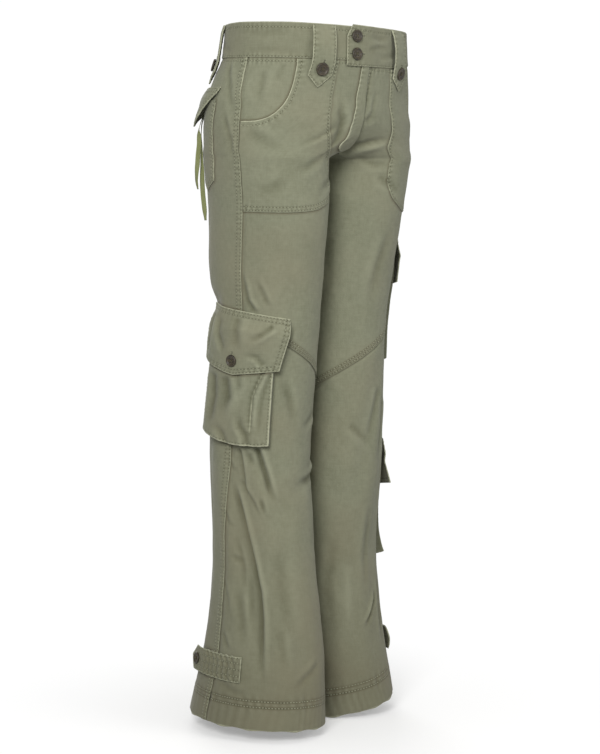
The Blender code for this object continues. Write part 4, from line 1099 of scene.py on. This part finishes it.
for name, node, half, phiA, phiB, zTop, foot, *depths, pocketCut in legPockets:
    flapNode, flapTop, flapLow, flare, flapCut = legFlaps[name]
    pocketDepth = trayDepth(phiA, phiB, zTop, foot, *depths)
    rim = [(phiA, zTop), *foot, (phiB, zTop)]
    first, last = phiA + trays["fold"], phiB - trays["fold"]
    folds = [(first, zTop), *[(min(max(p, first), last), q + 3) for p, q in foot], (last, zTop)]
    pleat = [edgeOf(trays["pleat"], (), 0.6)] if half == right else []
    # painted shadow on the pocket along the flap's lower edge
    cloth(
        name, node, [(rim[:2], [rim[-1], foot[-1]])], [rim[0], rim[-1]], foot, onLeg(half, name),
        trayForm(pocketDepth, rim), cut=pocketCut, on=["backRight" if half == right else "backLeft"],
        edges=[edgeOf(folds, (1.8,), 0.9), *pleat], dark=[([(p, q - 1) for p, q in flapLow[1:-1]], 1)],
        inside=((phiA + phiB) / 2, (zTop + foot[0][1]) / 2), **trays["style"],
    )
    lowest = min(q for _, q in flapLow)
    a, b = [flapTop[0], *flapLow[:2]], [flapTop[-1], flapLow[-1], flapLow[-2]]
    cloth(
        name.replace("Pocket", "Flap"), flapNode, [(a, b)], flapTop, flapLow[1:-1], onLeg(half, name + "Flap"),
        flapForm(pocketDepth, flapTop, lowest, flare), cut=flapCut, on=[name],
        edges=[edgeOf(flapTop, worn=0.8), edgeOf(flapLow)],
        inside=((phiA + phiB) / 2, (flapTop[0][1] + lowest) / 2), **flaps["style"],
    )
print("leg pockets made")

# Ankle tabs: a gathered strip with its point turned to the back

ankleTabs = {
    "gather": 9.2, "rows": 9.5, "out": 3.3, "deep": 1.7, "lift": 10.5, "button": 122.5, "gatherShade": 2.6,
    "style": {"wall": 2.0, "gap": 1.5, "pucker": 0.15, "near": (0, 0.4, 0.9, 1.8, 2.7)},
    # name, node, leg, phi of the front end, z from and to, its lift, mm that its front end is pointed
    "tabs": (
        ("ankleTabRight", "ankle_tab_right", right, 68.0, -932.0, -970.0, 0.0, 0),
        ("ankleTabLeft", "ankle_tab_left", left, 52.0, -930.0, -968.0, 7.5, 3),
    ),
}


def ankleForm(half, phiA, zTop, zMiddle, frontLift):
    def gather(phi, z):
        x = phi * perDegree(z)
        held = smooth((phi - phiA - 3) / 4) * smooth((115 - phi) / 7)
        rows = np.abs(np.sin(np.pi * (zTop - z) / ankleTabs["rows"])) ** 0.6
        turn = 2 * np.pi * x / ankleTabs["gather"] + 0.9 * np.sin(z / 4.1) + 1.2 * np.sin(x / 15)
        return np.sin(turn) * rows * held

    def off(phi, z):
        back = np.clip((phi - 100) / 37, 0, 1)
        front = np.clip(1 - (phi - phiA) / 14, 0, 1) * (1 - 0.5 * ((z - zMiddle) / 19) ** 2)
        lift = ankleTabs["lift"] * back**1.4 + frontLift * front
        return ankleTabs["out"] + lift + ankleTabs["deep"] * gather(phi, z)

    def place(phi, z, off):  # painted shade between the gathers
        point, normal, crease = lay(half, phi, z, off, "tab")
        dark = np.maximum(0, 0.3 - gather(phi, z)) * (np.asarray(phi) < 115)
        return point, normal, crease + ankleTabs["gatherShade"] * dark

    return place, off


for name, node, half, phiA, zTop, zBottom, frontLift, pointed in ankleTabs["tabs"]:
    zMiddle = (zTop + zBottom) / 2
    a = [(phiA, zTop), (phiA - pointed, zMiddle), (phiA, zBottom)]
    b = [(127, zTop), (138, zMiddle), (127, zBottom + 2)]
    rows = [
        edgeOf([(phiA + 2, zTop - k * ankleTabs["rows"]), (120, zTop - k * ankleTabs["rows"])], (0.01,), 0)
        for k in (1, 2, 3)
    ]
    cloth(
        name, node, [(a[:2], b[:2]), (a[1:], b[1:])], [a[0], b[0]], [a[-1], b[-1]],
        *ankleForm(half, phiA, zTop, zMiddle, frontLift), cut=(0.13, 0.038),
        on=["backRight" if half == right else "backLeft"],
        edges=[edgeOf([a[0], *b, a[-1]], (1.8,)), edgeOf(a, (), 0.9), *rows], **ankleTabs["style"],
    )
print("ankle tabs made")

# Tie tapes of the right back pocket: flat, free below the flap, narrowed at the free end of each

tieTapes = {
    "width": 7.0, "thick": 0.8, "steps": 55, "narrowed": 0.45,  # at the free end
    # phi, z, mm off the cloth, turn of its flat side
    "tieOuter": ("tie_outer", ((123, -137, 2.45, 0), (123, -146, 6, 0), (123, -157, 8.5, 5), (123, -166, 8, 60),
                 (123, -178, 8.5, 88), (123, -192, 10.5, 90), (123, -205, 13, 75), (123, -218, 15.5, 35),
                 (123, -231, 17, 15), (123, -243, 16, 10))),
    "tieInner": ("tie_inner", ((127, -137, 2.45, 0), (128, -149, 6, 0), (129, -165, 5.5, 5), (128, -180, 4.2, 10),
                 (128, -195, 4.4, 20), (127, -210, 5.2, 35), (127, -225, 6.6, 65), (127, -240, 7.6, 85),
                 (127, -256, 7.8, 80), (127, -272, 7.2, 60), (127, -290, 6, 40))),
}
for name in ("tieOuter", "tieInner"):
    node, rows = tieTapes[name]
    phi, z, off, turn = np.array(rows, float).T
    outward = lay(right, phi, z, 1.0, "none")[1]
    centres = lay(right, phi, z, off, "none")[0]
    outward[:, 2] = 0
    outward /= np.linalg.norm(outward, axis=1)[:, None]
    toBack = np.stack([-outward[:, 1], outward[:, 0], 0 * outward[:, 0]], -1)
    toBack *= np.where(toBack[:, 1:2] < 0, -1, 1)
    turn = np.radians(turn)[:, None]
    count = tieTapes["steps"]
    fineAt = np.linspace(0, len(rows) - 1, count + 1)
    line, spread = (
        np.stack([np.interp(fineAt, np.arange(len(rows)), values[:, k]) for k in range(3)], -1)
        for values in (centres, toBack * np.cos(turn) + outward * np.sin(turn))
    )
    for _ in range(3):  # round the corners of the path
        line[1:-1] = (line[:-2] + 2 * line[1:-1] + line[2:]) / 4
        spread[1:-1] = (spread[:-2] + 2 * spread[1:-1] + spread[2:]) / 4
    spread /= np.linalg.norm(spread, axis=1)[:, None]
    far = np.concatenate([[0], np.cumsum(np.linalg.norm(np.diff(line, axis=0), axis=1))])
    strip = bmesh.new()
    bmesh.ops.create_grid(strip, x_segments=4, y_segments=count, size=0.5)
    uv = strip.loops.layers.uv.new("clothGrain")
    for vert in strip.verts:
        k, across = int(round((0.5 - vert.co.y) * count)), vert.co.x
        narrow = 1 - tieTapes["narrowed"] * smooth((k - count + 5) / 5)
        vert.co = Vector((line[k] + spread[k] * across * tieTapes["width"] * narrow) * 0.001)
    strip.verts.ensure_lookup_table()
    for face in strip.faces:
        for loop in face.loops:
            k, across = divmod(loop.vert.index, 5)
            loop[uv].uv = (across * tieTapes["width"] / 5000, far[count - k] * 0.001)
    bmesh.ops.recalc_face_normals(strip, faces=strip.faces)
    mesh = meshFrom(strip, name)
    mesh.shade_smooth()
    piece = finish(name, mesh, [tape], node, wall=tieTapes["thick"])
    piece.modifiers["wall"].offset = 0

# Buttons

buttonForm = {
    "holesApart": 0.0021, "hole": 0.00095, "holeDeep": 0.0002, "holeLevel": 0.00182,
    "thread": 0.0005, "threadLevel": 0.0021, "crossing": 0.0003, "threadLong": 2.9,  # times holesApart
    "off": 0.0004,
    # share of the radius, height in mm
    "profile": ((0, 0), (0.84, 0), (0.96, 0.5), (1, 1.3), (0.99, 2.0), (0.93, 2.8), (0.86, 3.2), (0.78, 3.1),
                (0.7, 2.4), (0.62, 1.85), (0.5, 1.7), (0.25, 1.75), (0, 1.8)),
    "nodes": ("waist_button_upper", "waist_button_lower", "front_tab_left_button", "front_tab_right_button",
              "back_tab_left_button", "back_tab_right_button", "cargo_flap_right_button", "thigh_flap_left_button",
              "calf_flap_left_button", "ankle_button_left", "ankle_button_right"),
}
hollow = newMaterial("buttonHoleShadow", 0.9, "#15120D")[0]  # the dark inside of a drilled hole
darkThread = newMaterial("buttonThreadCotton", 0.85, "#4A452F")[0]  # matt spun thread, near the button's colour


def colourNew(made, index):  # the faces of what was just made take this material
    for face in {face for vert in made["verts"] for face in vert.link_faces}:
        face.material_index = index


for node in buttonForm["nodes"]:
    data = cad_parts[node].data
    points = np.zeros(len(data.vertices) * 3)
    data.vertices.foreach_get("co", points)
    points = points.reshape(-1, 3)
    middle = (points.max(0) + points.min(0)) / 2
    axis = np.linalg.svd(points - points.mean(0), full_matrices=False)[2][2]
    legX = 0 if "waist" in node else math.copysign(0.08, middle[0])
    if np.dot(axis, middle - np.array([legX, 0.03, middle[2]])) < 0:  # it faces away from the leg
        axis = -axis
    heights = (points - middle) @ axis
    base = Vector(middle) + Vector(axis) * heights.min()
    reach = float(np.linalg.norm(points - middle - heights[:, None] * axis, axis=1).max())
    if "ankle" in node:  # it stands further round, with the lifted end of its tab
        name, level = ("ankleTabRight", -950.5) if "right" in node else ("ankleTabLeft", -948.5)
        place, off = surfaces[name]
        phi, z = np.array([-2, 2, 0, 0]) + ankleTabs["button"], np.array([0, 0, -3, 3]) + level
        corners = place(phi, z, off(phi, z))[0] * 0.001
        facing = np.cross(corners[1] - corners[0], corners[3] - corners[2])
        axis = facing / np.linalg.norm(facing) * (1 if np.dot(facing, axis) > 0 else -1)
        base = Vector(corners.mean(0) + buttonForm["off"] * axis)
    disc = bmesh.new()
    chain = [disc.verts.new((share * reach, 0, height * 0.001)) for share, height in buttonForm["profile"]]
    lines = [disc.edges.new(pair) for pair in zip(chain, chain[1:])]
    bmesh.ops.spin(
        disc, geom=chain + lines, cent=(0, 0, 0), axis=(0, 0, 1), angle=2 * math.pi, steps=32, use_merge=True
    )
    bmesh.ops.remove_doubles(disc, verts=disc.verts, dist=1e-6)
    bmesh.ops.recalc_face_normals(disc, faces=disc.faces)
    for face in disc.faces:
        face.smooth = True
    apart = buttonForm["holesApart"]
    for x, y in ((1, 1), (1, -1), (-1, -1), (-1, 1)):
        at = Matrix.Translation((x * apart, y * apart, buttonForm["holeLevel"]))
        colourNew(bmesh.ops.create_cone(
            disc, cap_ends=True, segments=12, radius1=buttonForm["hole"], radius2=buttonForm["hole"],
            depth=buttonForm["holeDeep"], matrix=at,
        ), 1)
    for direction in (1, -1):  # the thread, crossed between the holes
        level = buttonForm["threadLevel"] + buttonForm["crossing"] * (direction > 0)
        turned = Matrix.Translation((0, 0, level)) @ Matrix.Rotation(direction * math.pi / 4, 4, "Z")
        colourNew(bmesh.ops.create_cone(
            disc, cap_ends=True, segments=8, radius1=buttonForm["thread"], radius2=buttonForm["thread"],
            depth=buttonForm["threadLong"] * apart, matrix=turned @ Matrix.Rotation(math.pi / 2, 4, "Y"),
        ), 2)
    turned = Vector(axis).to_track_quat("Z", "Y").to_matrix().to_4x4()
    bmesh.ops.transform(disc, matrix=Matrix.Translation(base) @ turned, verts=disc.verts)
    words = node.replace("_button", "").replace("button_", "").split("_")
    name = "button" + "".join(word.capitalize() for word in words)
    finish(name, meshFrom(disc, name), [horn, hollow, darkThread], node)
print("buttons made")

# Stitches: one short bead of thread each

sewing = {"pitch": 4.8, "length": 2.6, "thick": 0.55, "out": 0.15, "clear": 1.5, "slack": 0.12, "sample": 0.7}


def bead(target, middle, direction, thick, length):  # in mm
    turned = direction.to_track_quat("Z", "Y").to_matrix().to_4x4()
    return bmesh.ops.create_cone(
        target, cap_ends=True, segments=5, radius1=thick * 0.001, radius2=thick * 0.001, depth=length * 0.001,
        matrix=Matrix.Translation(middle * 0.001) @ turned,
    )


def sew(target, line, at, inside, place, off, folded):
    shares = np.linspace(0, 1, max(3, int(lineLength(line) / sewing["sample"])))
    phi, z = alongAt(line, shares).T
    scale = perDegree(z)
    dx, dz = np.gradient(phi) * scale, np.gradient(z)
    size = np.hypot(dx, dz) + 1e-9
    nx, nz = -dz / size, dx / size
    side = np.sign(np.sum((inside[0] - phi) * scale * nx + (inside[1] - z) * nz))
    phi, z = phi + side * nx * at / scale, z + side * nz * at
    keep = nearLine(phi, z, line)[0] > at - sewing["slack"]
    for other in folded:
        keep &= nearLine(phi, z, other)[0] > min(at, sewing["clear"]) - sewing["slack"]
    phi, z = phi[keep], z[keep]
    if len(phi) < 3:
        return
    flatPoint = plainForm(right, phi, z)
    done = np.concatenate([[0], np.cumsum(np.linalg.norm(np.diff(flatPoint, axis=0), axis=1))])
    middles = np.arange(sewing["pitch"] / 2, done[-1], sewing["pitch"])
    ends = []
    for shift in (-sewing["length"] / 2, sewing["length"] / 2):
        atPhi, atZ = np.interp(middles + shift, done, phi), np.interp(middles + shift, done, z)
        ends.append(place(atPhi, atZ, off(atPhi, atZ) + sewing["out"])[0])
    for first, last in zip(*ends):
        direction = Vector(last - first)
        if 1.0 < direction.length < 6:
            bead(target, Vector(first + last) / 2, direction, sewing["thick"], sewing["length"])


def sewAll(name, chosen):
    target = bmesh.new()
    for _, *row in chosen:
        sew(target, *row)
    print(name, len(target.verts) // 10, "stitches")
    finish(name, meshFrom(target, name), [thread], None)


slitForm = {"stitches": 9, "out": 0.25, "aside": 1.35, "thick": 0.42, "length": 1.8, "slit": 0.38}


def satinSlit(target, name, first, last):  # a buttonhole: a dark slit between two rows of close short stitches
    place, off = surfaces[name]
    count = slitForm["stitches"]
    phi, z = np.linspace(first, last, count).T
    points, outward, _ = place(phi, z, off(phi, z) + slitForm["out"])
    along = Vector(points[-1] - points[0])
    spin = Matrix.Rotation(math.pi / 2, 4, Vector(outward[count // 2]))
    for point in points:
        for side in (1, -1):
            across = (spin @ along.normalized()) * side
            bead(target, Vector(point) + across * slitForm["aside"], across, slitForm["thick"], slitForm["length"])
    colourNew(bead(target, Vector(points[count // 2]), along, slitForm["slit"], along.length), 1)


slits = bmesh.new()
for slit in (
    ("waistbandLeft", (-14, -20.6), (-3.6, -20)), ("waistbandLeft", (-14, -46.6), (-4.2, -46)),
    ("frontTabRight", (29.5, -76), (29.5, -57)), ("frontTabLeft", (26.5, -76), (26.5, -57)),
    ("backTabRight", (121.5, -72), (121.5, -54)), ("backTabLeft", (121.5, -72), (121.5, -54)),
    ("cargoFlapRight", (75, -498), (75, -479)), ("thighFlapLeft", (92, -380), (92, -361)),
    ("calfFlapLeft", (91, -694), (91, -675)), ("ankleTabRight", (121, -950.5), (130, -950.5)),
    ("ankleTabLeft", (121, -948.5), (130, -948.5)),
):
    satinSlit(slits, *slit)
finish("buttonholes", meshFrom(slits, "buttonholes"), [thread, hollow], None)

groups = {
    "stitchesLegsRight": ("frontUpperRight", "frontLowerRight", "backRight"),
    "stitchesLegsLeft": ("frontUpperLeft", "frontLowerLeft", "backLeft"),
}
for name, members in groups.items():
    sewAll(name, [seam for seam in seams if seam[0] in members])
legMembers = sum(groups.values(), ())
sewAll("stitchesPieces", [seam for seam in seams if seam[0] not in legMembers])

# Floor and light

studio = {
    "floor": -1.0475, "radius": 16.0, "sky": 0.4, "glow": 1.02, "paper": "#F9F9F8",
    "shadowFrom": 0.12, "shadowTo": 0.7, "aim": (0, 0, -0.5),
    "lamps": (
        ("keyLight", (-2.5, -1.8, 0.9), 1.2, 86), ("frontLight", (0.9, -2.9, 0.6), 1.6, 33),
        ("backLight", (1.6, 2.8, 0.6), 1.8, 48), ("topLight", (0.2, -0.4, 3.0), 2.0, 14),
    ),
}


def staged(name, form, material):  # what stands round the object and isn't part of it
    piece = bpy.data.objects.new(name, meshFrom(form, name))
    bpy.context.scene.collection.objects.link(piece)
    piece.data.materials.append(material)
    return piece


# Matt paper: it keeps the soft shadow by the hems, and glows evenly further out so that no horizon shows
paper, tree, paperShader = newMaterial("mattPaperFloor", 0.95, studio["paper"])
place = addNode(tree, "TexCoord").outputs["Object"]
flat = addNode(tree, "VectorMath", {1: (1, 1, 0)}, {0: place}, operation="MULTIPLY").outputs[0]
away = addNode(tree, "VectorMath", None, {0: flat}, operation="LENGTH").outputs["Value"]
span = {"From Min": studio["shadowFrom"], "From Max": studio["shadowTo"], "To Min": 0.3}
fade = addNode(tree, "MapRange", span, {"Value": away}, interpolation_type="SMOOTHSTEP").outputs[0]
white = {"Color": (1, 1, 1, 1), "Strength": studio["glow"]}
glow = addNode(tree, "Emission", white).outputs[0]
both = addNode(tree, "MixShader", None, {0: fade, 1: paperShader.outputs[0], 2: glow}).outputs[0]
tree.links.new(both, tree.nodes["Material Output"].inputs["Surface"])
ground = bmesh.new()
bmesh.ops.create_circle(ground, cap_ends=True, segments=96, radius=studio["radius"])
bmesh.ops.translate(ground, verts=ground.verts, vec=(0, 0, studio["floor"]))
staged("floor", ground, paper).visible_diffuse = False  # it would light the hems from below

# A white surround that is seen but gives no light
surround, tree, _ = newMaterial("whiteSurround", 1.0)
glow = addNode(tree, "Emission", white).outputs[0]
tree.links.new(glow, tree.nodes["Material Output"].inputs["Surface"])
dome = bmesh.new()
bmesh.ops.create_uvsphere(dome, u_segments=48, v_segments=24, radius=studio["radius"] + 1)
bmesh.ops.reverse_faces(dome, faces=dome.faces)
backdrop = staged("surround", dome, surround)
for kind in ("diffuse", "glossy", "transmission", "volume_scatter", "shadow"):
    setattr(backdrop, "visible_" + kind, False)

world = bpy.data.worlds.new("studio")
world.use_nodes = True
world.node_tree.nodes["Background"].inputs[0].default_value = (1, 1, 1, 1)
world.node_tree.nodes["Background"].inputs[1].default_value = studio["sky"]
bpy.context.scene.world = world
for name, at, size, power in studio["lamps"]:
    lamp = bpy.data.lights.new(name, "AREA")
    lamp.size, lamp.energy = size, power
    light = bpy.data.objects.new(name, lamp)
    light.location = at
    light.rotation_euler = (Vector(studio["aim"]) - Vector(at)).to_track_quat("-Z", "Y").to_euler()
    bpy.context.scene.collection.objects.link(light)
bpy.context.scene.view_settings.view_transform = "Standard"
